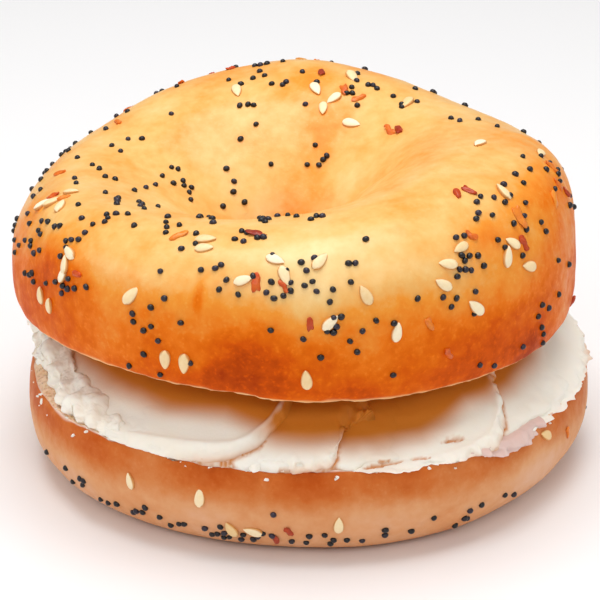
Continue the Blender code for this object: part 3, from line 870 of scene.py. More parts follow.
def baseSkin(azimuth, across):
    # the form with slow lumps and a torn lip, but flat where it stands
    here, _, _, normal = crustFrame(baseForm, azimuth, across, -1.0)
    relief = lumped(here, base["relief"])
    edge = 1.0 - eased(across, 0.0, 0.05)
    relief = relief + edge * 0.22 * layered(here, 1.7, 111)
    standing = eased(here[..., 2], 0.0, 2.5)
    points = here + normal * (relief * standing)[..., None]
    for middle, wide, deep in base["nicks"]:
        near = np.exp(-((turnFrom(azimuth, middle) / wide) ** 2)) * (1.0 - eased(across, 0.0, 0.08))
        points[..., 2] = points[..., 2] - deep * near
    return points


def baseBaked(points, azimuth, across):
    # a browned band under the cut edge, paler down to the foot
    band = eased(points[..., 2], 8.5, 14.5)
    return 0.24 + 0.42 * band + 0.10 * lumps(points, 8.0, 121) + patches(azimuth, across, base["browning"])


def makeBase():
    lipEnd, footEnd, flatEnd = base["parts"]
    across = np.concatenate(
        [
            np.linspace(0.0, lipEnd, base["lipSteps"], endpoint=False),
            np.linspace(lipEnd, footEnd, base["footSteps"], endpoint=False),
            np.linspace(footEnd, flatEnd, base["flatSteps"], endpoint=False),
            np.linspace(flatEnd, 1.0, base["wallSteps"] + 1),
        ]
    )
    turns = np.arange(base["steps"])[:, None] * 360.0 / base["steps"]
    azimuth, across = np.broadcast_arrays(turns, across[None, :])
    skin = baseSkin(azimuth, across)
    share = (np.arange(1, base["cutSteps"]) / base["cutSteps"])[None, :, None]
    cut = skin[:, -1:] + (skin[:, :1] - skin[:, -1:]) * share
    fade = np.sin(np.pi * share[..., 0]) ** 0.5
    torn = 0.25 * layered(cut, 3.2, 141) + 0.22 * ridged(cut, 1.5, 143) - 0.15
    cut[..., 2] = cut[..., 2] * (1.0 - fade) + (baseCut(turns + 0.0 * cut[..., 2]) + torn) * fade
    middle, place, wide, deep, high = base["lifted"]
    away = np.linalg.norm(cut[..., :2] - np.array(base["shift"]), axis=-1)
    lift = np.exp(-((turnFrom(turns, middle) / wide) ** 4) - ((away - place) / deep) ** 2)
    cut[..., 2] = cut[..., 2] + lift * (high + 0.5 * layered(cut, 2.4, 147))
    points = np.concatenate([skin, cut], axis=1)
    rows, columns = points.shape[:2]
    fill = np.zeros(cut.shape[:2])
    film = 0.040 + 0.030 * lumps(skin, 7.0, 153) + 0.014 * lumps(skin, 1.6, 151)
    bare = (1.0 - eased(across, 0.4 * film, film)) * 0.85
    marks = {
        "baked": np.concatenate([baseBaked(skin, azimuth, across), fill + 0.2], axis=1),
        "bare": np.concatenate([bare, fill + 1.0], axis=1),
    }
    crumbFaces = np.zeros((rows, columns), int)
    crumbFaces[:, skin.shape[1] - 1 :] = 1
    faces = gridFaces(rows, columns, True, True)[:, ::-1]
    return addMesh("bottomHalf", points, [faces], [bottomCrust, paleCrumb], marks, crumbFaces.ravel())


bottomHalf = makeBase()
standFor(bottomHalf, "bagel_bottom")
print("bottom half made:", len(bottomHalf.data.polygons), "faces")


# Cream cheese: a thick ring under the crown, knife strokes over one another round it, and a torn mass.

cheese = {
    # the ring's inner radius, and the radius at which it begins to slope down
    "hole": 13.0,
    "shoulder": 34.0,
    "ringSteps": (600, 24, 40),
    # rim sizes at every 45 degrees, from the right round by the back
    "rim": (48.6, 48.0, 47.4, 47.4, 46.0, 47.6, 47.2, 46.8),
    # height of the rim above the cut, how far past it the slope goes on, and the gap under the crown
    "rimHigh": 1.1,
    "slopeEnd": 1.1,
    "topGap": 0.6,
    # how deep it settles into the bottom half's crumb
    "sunk": 0.25,
    # each stroke: start and end azimuth, inner and outer radius, how far its tip curls inwards, how far the
    # tip stands above the slope, the lip the knife left along its edge, how ragged the edge is, the share of
    # its length that narrows, how far its start curls inwards, and how many degrees its tip slants
    "strokes": (
        (309.5, 374.0, 36.0, 49.2, 1.0, 0.9, 0.2, 0.9, 0.36, 1.5, 0.0),
        (4.0, 46.0, 36.0, 48.4, 2.0, 1.2, 0.4, 0.6, 0.56, 0.0, 0.0),
        (40.0, 82.0, 36.0, 47.8, 3.0, 1.3, 0.4, 0.6, 0.56, 0.0, 0.0),
        (74.0, 114.0, 36.0, 47.8, 2.0, 1.2, 0.3, 0.6, 0.56, 0.0, 0.0),
        (106.0, 148.0, 36.0, 47.4, 3.0, 1.3, 0.4, 0.6, 0.56, 0.0, 0.0),
        (140.0, 184.0, 36.0, 47.4, 1.0, 1.0, 0.3, 0.6, 0.56, 0.0, 0.0),
        (214.0, 268.5, 36.0, 48.4, 8.0, 1.9, 1.0, 0.45, 0.56, 0.0, 0.0),
        (243.0, 281.0, 36.0, 47.7, 0.5, 1.5, 0.3, 1.3, 0.30, 0.0, 4.5),
        (274.0, 320.0, 36.0, 48.8, 3.5, 1.7, 0.9, 1.0, 0.56, 0.0, 0.0),
    ),
    # how late a tip curls, a stroke's thickness and least thickness, how far its start lies below the slope,
    # and how blunt and how much lower its ends are
    "curlPower": 7.0,
    "thick": 2.4,
    "edge": 0.5,
    "startLow": -0.9,
    "tipFull": 0.985,
    "tipThin": 0.4,
    # as shares of the way out to the edge: where the raised lip runs and how far it spreads, and from where
    # the edge is torn
    "lipAt": (0.86, 0.12),
    "tornFrom": 0.70,
    # ragged outline and broken height of a torn edge: strength and size of the lumps and facets
    "ragged": ((0.45, 5.0), (0.45, 1.9), (0.25, 0.9)),
    "broken": ((0.35, 1.4), (0.15, 0.8)),
    "alongSteps": 190,
    "acrossSteps": 50,
    # a hollow and two slits torn in the slope: azimuth and radius of both ends, half the width, and the depth
    "hollows": (
        (279.2, 41.6, 279.6, 41.9, 1.4, 1.2),
        (281.0, 47.1, 294.5, 47.5, 0.22, 0.4),
        (297.5, 45.5, 303.5, 45.9, 0.28, 0.6),
    ),
    # a thin film left on the cut: azimuths, radii, and how thick
    "film": (303.0, 326.0, 42.0, 49.7, 0.45),
    "filmAlong": 120,
    "filmAcross": 40,
    # the radius past which it droops over the lip, and how fast
    "filmDroop": (47.9, 0.45),
    # the torn mass: azimuth, inner and outer radius, and how far it stands above the slope
    "torn": (
        (158.0, 38.0, 45.0, 0.4),
        (168.0, 37.0, 47.4, 2.8),
        (178.0, 37.6, 48.2, 4.2),
        (188.0, 38.6, 47.2, 4.0),
        (197.0, 41.2, 46.4, 2.8),
        (206.0, 42.8, 47.2, 2.2),
        (215.0, 43.6, 48.0, 1.9),
        (223.0, 44.6, 48.6, 1.5),
        (229.5, 45.6, 48.0, 0.5),
    ),
    "tornAlong": 300,
    "tornAcross": 80,
    # facets of its skin: sizes and heights, from coarse to fine
    "tornFacets": ((5.0, 1.10), (2.6, 0.45), (1.3, 0.16)),
    # under the crown the cheese is painted a warm brown shade: azimuth, and how far inside the crown's edge the
    # shade is half as strong, then how far on either side of that it fades
    "shade": (
        (0.0, 8.0),
        (60.0, 5.0),
        (120.0, 5.0),
        (180.0, 8.5),
        (225.0, 6.6),
        (240.0, 5.2),
        (254.0, 5.0),
        (266.0, 2.6),
        (280.0, 1.4),
        (297.0, 1.6),
        (311.0, 3.8),
        (326.0, 3.4),
        (340.0, 5.0),
    ),
    "shadeFade": 2.2,
    # the same painted shade beneath the strokes' torn edges
    "paintedUnderShade": 0.75,
    # and a painted shadow on what lies beside and below them: from what share of the stroke's length, how wide
    # and no further than, how far below the edge, and how strong
    "edgeShadowFrom": 0.55,
    "edgeShadowWide": 0.45,
    "edgeShadowReach": 1.5,
    "edgeShadowAbove": (-0.9, 0.0),
    "edgeShadowStrength": 1.0,
    # how strong the painted shade is in a hollow, and how far above the slope a piece stands to lose how much
    # of the painted shade
    "hollowShade": 0.9,
    "catchesLight": (1.9, 3.0, 0.6),
}


def cheeseSlope(azimuth, radius):
    # full height under the crown to the shoulder, then straight down to the rim
    share = (radius - cheese["shoulder"]) / (around(azimuth, cheese["rim"]) - cheese["shoulder"])
    high = crownRoof(azimuth, radius) - cheese["topGap"]
    low = baseCut(azimuth) + cheese["rimHigh"]
    return high + (low - high) * np.clip(share, 0.0, cheese["slopeEnd"])


def hollowShares(points):
    # for each hollow or slit: 1 along its middle, falling to 0 round it with a ragged outline, and its depth
    shares = []
    for startAzimuth, startRadius, endAzimuth, endRadius, wide, deep in cheese["hollows"]:
        azimuths, radii = np.array([startAzimuth, endAzimuth]), np.array([startRadius, endRadius])
        first, last = placed(azimuths, radii, np.zeros(2), base["shift"])[:, :2]
        along = last - first
        offset = points[..., :2] - first
        share = np.clip((offset @ along) / max(along @ along, 1e-6), 0.0, 1.0)
        away = np.linalg.norm(offset - share[..., None] * along, axis=-1)
        away = away / np.sqrt(1.1 - (2.0 * share - 1.0) ** 2) if along @ along > 1.0 else away
        away = away + (0.2 + 0.2 * wide) * layered(points, 1.5, 195)
        shares.append((np.exp(-((np.maximum(away, 0.0) / wide) ** 4)), deep))
    return shares


def dug(points, side):
    # the upper side of a piece sunk in the hollows
    for share, deep in hollowShares(points):
        points[..., 2] = points[..., 2] - deep * side * share
    return points


def edgeShadowShare(points, edges):
    # painted shadow: 1 on what lies close beside a torn edge and below it, falling to 0 within a millimetre
    flat = points.reshape(-1, 3)
    total = np.zeros(len(flat))
    for edge in edges:
        low = edge[:, :2].min(axis=0) - cheese["edgeShadowReach"]
        high = edge[:, :2].max(axis=0) + cheese["edgeShadowReach"]
        close = np.all((flat[:, :2] > low) & (flat[:, :2] < high), axis=-1)
        near = flat[close]
        away = np.hypot(near[:, None, 0] - edge[None, :, 0], near[:, None, 1] - edge[None, :, 1])
        above = edge[away.argmin(axis=1), 2] - near[:, 2]
        share = np.exp(-((away.min(axis=1) / cheese["edgeShadowWide"]) ** 2))
        total[close] = np.maximum(total[close], share * eased(above, *cheese["edgeShadowAbove"]))
    return cheese["edgeShadowStrength"] * total.reshape(points.shape[:-1])


def paintedShadeMark(points):
    # painted shade by how far under the crown each point lies: 0 outside its edge, 1 well inside
    away = points[..., :2] - np.array(crown["shift"])
    azimuth = np.degrees(np.arctan2(away[..., 1], away[..., 0]))
    inside = around(azimuth, crown["outer"]) - np.linalg.norm(away, axis=-1)
    places, halves = np.array(cheese["shade"]).T
    half = np.interp(azimuth % 360.0, places, halves, period=360.0)
    shade = eased(inside + 0.5 * lumps(points, 7.0, 191) - half, -cheese["shadeFade"], cheese["shadeFade"])
    # what stands up above the slope gets less of the painted shade, as it would catch the light
    away = points[..., :2] - np.array(base["shift"])
    turn = np.degrees(np.arctan2(away[..., 1], away[..., 0]))
    above = points[..., 2] - cheeseSlope(turn, np.linalg.norm(away, axis=-1))
    # painted shade in the hollows and slits
    for share, _ in hollowShares(points):
        shade = np.maximum(shade, cheese["hollowShade"] * share)
    low, high, lost = cheese["catchesLight"]
    return shade * (1.0 - lost * eased(above, low, high))


def makeCheeseCore(edges):
    # ring section: flat under side on the bottom half, and the slope on top out to the thin rim
    turnSteps, levelSteps, slopeSteps = cheese["ringSteps"]
    turns = np.arange(turnSteps)[:, None] * (360.0 / turnSteps)
    hole = cheese["hole"]
    rim = around(turns, cheese["rim"])
    flat = np.linspace(hole, cheese["shoulder"], levelSteps, endpoint=False)[None, :] + 0.0 * turns
    slope = cheese["shoulder"] + (rim - cheese["shoulder"]) * np.linspace(0, 1, slopeSteps)
    radius = np.concatenate([flat, slope], axis=1)
    azimuth = turns + 0.0 * radius
    foot = baseCut(azimuth) - cheese["sunk"]
    top = cheeseSlope(azimuth, radius) - 1.6 * (1.0 - eased(radius, hole, hole + 2.0))
    over = placed(azimuth, radius, top, base["shift"])
    over[..., 2] = over[..., 2] + 0.15 * layered(over, 4.0, 201) * eased(radius, hole, hole + 3.0)
    over[..., 2] = np.maximum(over[..., 2], foot + 0.3)
    under = placed(azimuth, radius, foot, base["shift"])
    points = np.concatenate([over, under[:, ::-1]], axis=1)
    edge = eased(np.concatenate([radius, radius[:, ::-1]], axis=1), 43.0, 47.0)
    outward = unit(points * np.array([1.0, 1.0, 0.0]))
    points = points + outward * (0.5 * edge * layered(points, 2.6, 203))[..., None]
    faces = gridFaces(points.shape[0], points.shape[1], True, True)[:, ::-1]
    # the deep mark is painted shade: under the crown, in the hollows, and beside and below the strokes' torn
    # edges
    marks = {"deep": np.maximum(paintedShadeMark(points), edgeShadowShare(points, edges)), "thin": 0.0 * points[..., 0]}
    return addMesh("cheeseRing", points, [faces], [creamCheese], marks)


def sectionShares(steps, along):
    # the way round a flat section: w goes from -1 to 1 over the top and back beneath, side is 1 or -1
    w = np.sin(np.pi * np.linspace(-0.5, 0.5, steps))
    side = np.concatenate([np.ones(steps), -np.ones(steps - 2)])[None, :] + 0.0 * along
    return np.concatenate([w, w[-2:0:-1]])[None, :] + 0.0 * along, side


def strokeGrid(stroke, number):
    # a slab laid down the slope: its top and under side meet in square edges, and it narrows to a round
    # tip at both ends, torn along its outer edge and its tip, with a raised lip just inside them
    start, end, inner, outer, curl, tip, lip, rough, narrowing, startCurl, slant = stroke
    u = (0.5 - 0.5 * np.cos(np.pi * np.linspace(0.0, 1.0, cheese["alongSteps"])))[:, None]
    w, side = sectionShares(cheese["acrossSteps"], u)
    nearEnd = np.clip((np.abs(2.0 * u - 1.0) - 1.0) / narrowing + 1.0, 0.0, 1.0)
    taper = np.sqrt(1.0 - (cheese["tipFull"] * nearEnd) ** 2)
    azimuth = start + (end - start) * u - slant * u**6 * w
    middle = (inner + outer) / 2.0 - curl * u ** cheese["curlPower"] - startCurl * (1.0 - u) ** 5
    radius = middle + (outer - inner) / 2.0 * taper * w
    rightEnd = nearEnd * (u > 0.5)
    toEdge = np.sqrt(np.maximum(taper * w, 0.0) ** 2 + rightEnd**2)
    rise = cheese["startLow"] + (tip - cheese["startLow"]) * u - cheese["tipThin"] * (1.0 - taper)
    top = cheeseSlope(azimuth, radius) + rise
    spot = placed(azimuth, radius, top, base["shift"])
    lipPlace, lipSpread = cheese["lipAt"]
    lipped = lip * np.exp(-(((toEdge - lipPlace) / lipSpread) ** 2)) * eased(u, 0.1, 0.45)
    streaks = 0.05 * np.sin(radius * 2.2 + 2.5 * lumps(spot, 9.0, 217 + number))
    streaks = streaks + 0.12 * lumps(spot, 6.0, 219 + number)
    full = np.sqrt(1.0 - w**6)
    lowest = baseCut(azimuth) - cheese["sunk"] + cheese["edge"] * (1.0 + side * full) / 2.0
    highest = crownRoof(azimuth, radius) - 0.2
    height = top - cheese["thick"] * (1.0 - side * full) / 2.0 + (lipped + streaks) * (side > 0) * full
    points = placed(azimuth, radius, np.clip(height, lowest, highest), base["shift"])
    # the torn edge: pushed in and out along the level way out from the stroke's middle, and broken in height
    torn = eased(toEdge, cheese["tornFrom"], 1.0) * rough
    away = points - placed(azimuth, middle + 0.0 * w, 0.0 * w, base["shift"])
    away[..., 2] = 0.0
    ragged = 0.0
    for place, (strong, size) in enumerate(cheese["ragged"]):
        noise = facets if place else lumps
        ragged = ragged + strong * noise(points, size, 211 + 2 * place + number)
    points = points + unit(away) * (torn * ragged)[..., None]
    (strong, size), (faint, fine) = cheese["broken"]
    broken = strong * facets(points, size, 221 + number) + faint * layered(points, fine, 223 + number)
    points[..., 2] = points[..., 2] + torn * broken * (side > 0) * full
    # painted shade on the under side of the stroke near its torn edge, returned as under
    under = cheese["paintedUnderShade"] * eased(-side * full, -0.85, 0.3) * eased(u, 0.45, 0.75)
    late = points[int(cheese["alongSteps"] * cheese["edgeShadowFrom"]) :]
    edge = np.concatenate([late[::2, 0], late[::2, cheese["acrossSteps"] - 1], late[-1, ::2]])
    return dug(points, (side > 0) * full), under, edge


def closeEnds(rows, columns, first):
    # both ends of a swept grid are closed by a fan of triangles to a middle point after its last point
    sets = []
    for row, way in ((0, -1), (rows - 1, 1)):
        ring = first + row * columns + np.arange(columns)
        hub = np.full(columns, first + rows * columns + (0 if row == 0 else 1))
        sets.append(np.stack([ring, np.roll(ring, -1), hub], axis=-1)[:, ::way])
    return sets


def makeSwept(name, grids, thin=0.0, shaded=1.0):
    # one mesh from several swept grids of points
    pointSets, faceSets, underShadeSets = [], [], []
    first = 0
    for points, under in grids:
        rows, columns = points.shape[:2]
        faceSets.append(gridFaces(rows, columns, False, True, first)[:, ::-1])
        faceSets += closeEnds(rows, columns, first)
        hubs = np.stack([points[0].mean(axis=0), points[-1].mean(axis=0)])
        pointSets.append(np.concatenate([points.reshape(-1, 3), hubs]))
        underShadeSets.append(np.concatenate([(under + 0.0 * points[..., 0]).ravel(), [0.0, 0.0]]))
        first = first + len(pointSets[-1])
    points = np.concatenate(pointSets)
    # the deep mark is painted shade: under the crown, and under the strokes' torn edges
    deep = np.maximum(paintedShadeMark(points) * shaded, np.concatenate(underShadeSets))
    marks = {"deep": deep, "thin": np.full(len(points), thin)}
    return addMesh(name, points, faceSets, [creamCheese], marks)


def filmGrid():
    # a thin smear over the bottom half's cut and a little down its lip, round in plan with a torn edge
    start, end, inner, outer, thick = cheese["film"]
    u = (0.5 - 0.5 * np.cos(np.pi * np.linspace(0.0, 1.0, cheese["filmAlong"])))[:, None]
    w, side = sectionShares(cheese["filmAcross"], u)
    taper = np.sqrt(1.0 - (0.985 * np.abs(2.0 * u - 1.0) ** 1.5) ** 2)
    azimuth = start + (end - start) * u + 0.0 * w
    radius = (inner + outer) / 2.0 + (outer - inner) / 2.0 * taper * w
    droopFrom, droopFast = cheese["filmDroop"]
    droop = np.maximum(radius - droopFrom, 0.0)
    full = np.sqrt(1.0 - w**4)
    height = baseCut(azimuth) + 0.25 + thick * side * full - droopFast * droop**2
    points = placed(azimuth, radius, height, base["shift"])
    points[..., 2] = points[..., 2] + 0.35 * layered(points, 3.0, 261) * (side > 0) * full
    ragged = 0.7 * layered(points, 2.6, 263) + 0.7 * facets(points, 1.5, 265)
    torn = eased(np.maximum(w, 0.0), 0.6, 1.0) * ragged
    return points + unit(points * [1.0, 1.0, 0.0]) * torn[..., None]


def tornGrid():
    # a rough slab on the slope between two torn outlines, with its skin pushed along its own normals into
    # soft facets
    rows = np.array(cheese["torn"])
    azimuth = np.linspace(rows[0, 0], rows[-1, 0], cheese["tornAlong"])[:, None]
    inner, outer, high = [np.interp(azimuth, rows[:, 0], rows[:, column]) for column in (1, 2, 3)]
    w, side = sectionShares(cheese["tornAcross"], azimuth)
    share = (azimuth - rows[0, 0]) / (rows[-1, 0] - rows[0, 0])
    taper = np.sqrt(1.0 - (0.98 * np.abs(2.0 * share - 1.0) ** 6.0) ** 2)
    azimuth = azimuth + 0.0 * w
    radius = (inner + outer) / 2.0 + (outer - inner) / 2.0 * taper * w
    full = (1.0 - w**6) ** 0.5
    foot = baseCut(azimuth) - cheese["sunk"]
    top = cheeseSlope(azimuth, radius) + high * (0.45 + 0.55 * full) * (0.66 + 0.34 * w)
    middle = (top + foot) / 2.0
    points = placed(azimuth, radius, middle + (top - middle) * side * full, base["shift"])
    edge = eased(np.abs(w), 0.55, 1.0)
    away = points - placed(azimuth, (inner + outer) / 2.0, 0.0 * w, base["shift"])
    away[..., 2] = 0.0
    ragged = 0.9 * facets(points, 3.8, 241) + 0.45 * facets(points, 1.7, 243)
    ragged = ragged + 0.15 * layered(points, 0.9, 245)
    points = points + unit(away) * (edge * ragged)[..., None]
    normals = gridNormals(points, False, True)
    normals = normals * np.sign((normals[..., 2] * side).sum())
    relief = 0.05 * layered(points, 0.5, 237)
    for number, (size, strong) in enumerate(cheese["tornFacets"]):
        relief = relief + strong * facets(points, size, 231 + number, 7.0)
    points = points + normals * (relief * (side > -0.5) * np.minimum(full + 0.4, 1.0))[..., None]
    points[..., 2] = np.clip(points[..., 2], foot, crownRoof(azimuth, radius) + 0.4)
    return points


def blob(segments, rings):
    # a round of unit length: rings between two poles, as points and faces
    polar = np.pi * (np.arange(rings) + 1.0) / (rings + 1.0)
    turn = 2.0 * np.pi * np.arange(segments) / segments
    points = np.stack(
        [
            -np.cos(polar)[:, None] + 0.0 * turn,
            np.sin(polar)[:, None] * np.cos(turn),
            np.sin(polar)[:, None] * np.sin(turn),
        ],
        axis=-1,
    )
    ends = np.array([[-1.0, 0.0, 0.0], [1.0, 0.0, 0.0]])
    count = rings * segments
    ring = np.arange(segments)
    quads = gridFaces(rings, segments, False, True)[:, ::-1]
    lowCap = np.stack([np.full(segments, count), np.roll(ring, -1), ring], axis=-1)
    last = ring + (rings - 1) * segments
    highCap = np.stack([np.full(segments, count + 1), last, np.roll(last, -1)], axis=-1)
    return np.concatenate([points.reshape(-1, 3), ends]) / 2.0, [quads, np.concatenate([lowCap, highCap])]


crumbs = {
    # crumbs of cheese on the bottom half's lip: how many, azimuths, reach down the crust, and sizes
    "count": 44,
    "azimuths": (190.0, 345.0),
    "across": (0.005, 0.12),
    "sizes": (0.30, 0.85),
    "seed": 77,
}


def makeCheeseCrumbs():
    # rounds pushed in and out by noise, most of them small and near the cut edge
    random = np.random.default_rng(crumbs["seed"])
    count = crumbs["count"]
    azimuth = random.uniform(*crumbs["azimuths"], count)
    low, high = crumbs["across"]
    across = low + (high - low) * random.uniform(0.0, 1.0, count) ** 2.0
    small, large = crumbs["sizes"]
    size = small + (large - small) * random.uniform(0.0, 1.0, count) ** 2.5
    here = baseSkin(azimuth, across)
    shape, shapeFaces = blob(12, 8)
    pointSets, faceSets = [], []
    for number in range(count):
        points = here[number] + shape * size[number] * np.array([1.2, 0.9, 0.7])
        push = 0.45 * size[number] * facets(points, 0.7 * size[number], 281 + number)
        pointSets.append(points + unit(points - here[number]) * push[:, None])
        faceSets += [faces + number * len(shape) for faces in shapeFaces]
    points = np.concatenate(pointSets)
    blank = np.zeros(len(points))
    return addMesh("cheeseCrumbs", points, faceSets, [creamCheese], {"deep": blank, "thin": blank})


strokes = [strokeGrid(stroke, number) for number, stroke in enumerate(cheese["strokes"])]
edges = [edge for _, _, edge in strokes]
# each stroke's painted shade: under its own torn edges and beside the other strokes' edges
strokeGrids = [
    (points, np.maximum(under, edgeShadowShare(points, edges[:number] + edges[number + 1 :])))
    for number, (points, under, _) in enumerate(strokes)
]
cheesePieces = [
    makeCheeseCore(edges),
    makeSwept("cheeseStrokesFront", [strokeGrids[0]] + strokeGrids[6:]),
    makeSwept("cheeseStrokesBack", strokeGrids[1:6]),
    makeSwept("cheeseFilm", [(filmGrid(), 0.0)], 0.8),
    makeSwept("tornCheese", [(tornGrid(), 0.0)], shaded=0.3),
    makeCheeseCrumbs(),
]
for piece in cheesePieces:
    standFor(piece, "cream_cheese")
print("cheese made:", sum(len(piece.data.polygons) for piece in cheesePieces), "faces")


# Toppings: where they lie, in drifts: azimuth and across of the middle, spread of both, how many, and
# for sesame and flakes the turn of the long axis from the ring, and a flake's length.

toppings = {
    # length, width and height
    "poppy": (1.15, 1.0, 0.95),
    "sesame": (3.3, 1.75, 0.9),
    "sesamePointed": 0.28,
    # a flake's width as a share of its length, and its height
    "flakeWide": 0.55,
    "flakeHigh": 0.6,
    # share of its height that a topping sinks into the crust
    "sunk": 0.36,
    # least distance between toppings, and between the poppy seeds added last
    "apart": 1.3,
    "crowded": 0.85,
    # spread of the long axes in a drift
    "loose": 35.0,
}
topSesame = (
    (272, 0.11, 0, 0.00, 1, 100),
    (244, 0.11, 0, 0.00, 1, 269),
    (248, 0.11, 0, 0.00, 1, 268),
    (236, 0.23, 0, 0.00, 1, 54),
    (290, 0.18, 0, 0.00, 1, 79),
    (284, 0.28, 0, 0.00, 1, 114),
    (308, 0.19, 0, 0.00, 1, 130),
    (275, 0.22, 2, 0.02, 2, 40),
    (209, 0.14, 2, 0.01, 2, 60),
    (218, 0.25, 1, 0.05, 3, 115),
    (272, 0.38, 9, 0.03, 5, 10),
    (250, 0.48, 9, 0.03, 3, 15),
    (306, 0.32, 3, 0.05, 3, 160),
    (320, 0.32, 7, 0.06, 4, 120),
    (196, 0.42, 3, 0.08, 4, 110),
    (352, 0.42, 6, 0.12, 2, 120),
    (78, 0.68, 14, 0.06, 6, 120),
    (128, 0.64, 12, 0.03, 2, 100),
    (90, 0.26, 50, 0.11, 11, 90),
)
topFlakes = (
    (120, 0.45, 0, 0.00, 1, 64, 2.4),
    (326, 0.35, 0, 0.00, 1, 87, 4.0),
    (260, 0.54, 0, 0.00, 1, 5, 3.6),
    (241, 0.51, 0, 0.00, 1, 47, 3.0),
    (262, 0.33, 0, 0.00, 1, 93, 2.8),
    (324, 0.28, 0, 0.00, 1, 107, 2.8),
    (317, 0.51, 2, 0.01, 2, 100, 2.4),
    (75, 0.65, 15, 0.07, 7, 115, 2.6),
    (348, 0.37, 4, 0.07, 4, 60, 2.4),
    (300, 0.30, 6, 0.07, 3, 100, 2.2),
    (272, 0.29, 5, 0.03, 2, 120, 2.3),
    (221, 0.25, 0, 0.00, 1, 173, 2.4),
    (192, 0.48, 8, 0.08, 3, 100, 2.2),
    (95, 0.25, 55, 0.10, 7, 80, 2.3),
)
topPoppies = (
    (208, 0.22, 8, 0.05, 3),
    (205, 0.36, 6, 0.04, 2),
    (212, 0.50, 6, 0.06, 2),
    (240, 0.20, 6, 0.06, 2),
    (242, 0.55, 7, 0.05, 3),
    (256, 0.32, 7, 0.05, 2),
    (276, 0.22, 6, 0.06, 2),
    (276, 0.40, 8, 0.05, 2),
    (304, 0.27, 7, 0.07, 3),
    (320, 0.40, 6, 0.07, 2),
    (336, 0.20, 6, 0.06, 2),
    (350, 0.35, 7, 0.06, 1),
    (160, 0.66, 10, 0.08, 4),
    (104, 0.63, 8, 0.05, 2),
    (70, 0.62, 14, 0.06, 3),
    (90, 0.28, 55, 0.12, 8),
)
# the rest of the poppy seeds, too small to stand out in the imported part
topPoppiesMore = (
    (25, 0.56, 6, 0.03, 4),
    (47, 0.61, 6, 0.045, 7),
    (63, 0.63, 6, 0.07, 8),
    (76, 0.78, 9, 0.03, 5),
    (90, 0.61, 6, 0.05, 5),
    (106, 0.62, 5, 0.06, 9),
    (112, 0.79, 5, 0.07, 4),
    (143, 0.81, 6, 0.05, 4),
    (154, 0.58, 8, 0.06, 8),
    (165, 0.77, 6, 0.04, 11),
    (175, 0.39, 12, 0.05, 5),
    (182, 0.62, 5, 0.06, 7),
    (204, 0.64, 5, 0.04, 9),
    (205, 0.35, 6, 0.04, 12),
    (211, 0.22, 9, 0.05, 20),
    (215, 0.49, 5, 0.06, 11),
    (240, 0.54, 5, 0.06, 10),
    (243, 0.17, 5, 0.06, 10),
    (255, 0.31, 7, 0.05, 12),
    (258, 0.53, 3, 0.03, 9),
    (260, 0.64, 6, 0.02, 5),
    (274, 0.39, 7, 0.05, 14),
    (277, 0.61, 5, 0.02, 4),
    (278, 0.21, 5, 0.06, 18),
    (304, 0.27, 7, 0.07, 20),
    (318, 0.05, 8, 0.025, 4),
    (320, 0.40, 5, 0.065, 15),
    (334, 0.19, 6, 0.056, 10),
    (340, 0.41, 6, 0.045, 6),
    (353, 0.30, 5, 0.064, 7),
    (92, 0.28, 52, 0.11, 70),
    (20, 0.30, 12, 0.09, 16),
    (160, 0.30, 12, 0.09, 16),
)
bottomSesame = (
    (234, 0.20, 0, 0.00, 1, 102),
    (249, 0.20, 0, 0.00, 1, 90),
    (276, 0.27, 0, 0.00, 1, 89),
    (324, 0.12, 0, 0.00, 1, 152),
    (253, 0.32, 4, 0.01, 2, 155),
    (90, 0.27, 60, 0.06, 6, 90),
)
bottomFlakes = (
    (263, 0.30, 2, 0.03, 2, 150, 2.0),
    (75, 0.28, 60, 0.05, 3, 60, 2.2),
)
bottomPoppies = (
    (222, 0.27, 9, 0.04, 3),
    (240, 0.32, 6, 0.03, 3),
    (258, 0.32, 5, 0.03, 3),
    (272, 0.33, 6, 0.02, 2),
    (306, 0.30, 9, 0.04, 3),
    (80, 0.30, 60, 0.05, 6),
)
bottomPoppiesMore = (
    (222, 0.30, 7, 0.03, 6),
    (240, 0.34, 7, 0.025, 8),
    (254, 0.35, 6, 0.02, 10),
    (268, 0.35, 7, 0.02, 10),
    (290, 0.35, 8, 0.015, 6),
    (306, 0.33, 8, 0.03, 5),
    (90, 0.32, 70, 0.04, 40),
)


def drawPlaces(random, drifts):
    # a row for each piece: azimuth, across and turn drawn about its drift's own, and its drift's length
    rows = []
    for drift in drifts:
        azimuth, across, wide, deep, count = drift[:5]
        turn = drift[5] if len(drift) > 5 else 0.0
        length = drift[6] if len(drift) > 6 else 0.0
        loose = 0.0 if wide == 0 else toppings["loose"]
        drawn = random.normal(0.0, 1.0, (count, 3))
        rows.append(
            np.stack(
                [azimuth + drawn[:, 0] * wide, across + drawn[:, 1] * deep, turn + drawn[:, 2] * loose]
                + [np.full(count, length)],
                axis=-1,
            )
        )
    return np.concatenate(rows)


def sortPlaces(form, kinds, reach):
    # keeps each place that is far enough from those already kept, kind after kind
    taken = np.zeros((0, 3))
    kept = []
    for rows, apart in kinds:
        rows = rows.copy()
        rows[:, 1] = np.clip(rows[:, 1], reach[0], reach[1])
        spots = form(rows[:, 0], rows[:, 1])
        chosen = []
        for number, spot in enumerate(spots):
            if not len(taken) or np.linalg.norm(taken - spot, axis=1).min() > apart:
                taken = np.concatenate([taken, spot[None]])
                chosen.append(number)
        kept.append(rows[chosen])
    return kept


def poppyShape():
    # a round with a shallow dent on one side, like a tiny kidney
    points, faces = blob(10, 7)
    dent = 0.16 * np.exp(-(((points - np.array([0.0, 0.5, 0.15])) ** 2).sum(axis=1)) / 0.06)
    points = points * (1.0 - dent)[:, None]
    return points, faces, np.zeros(len(points))


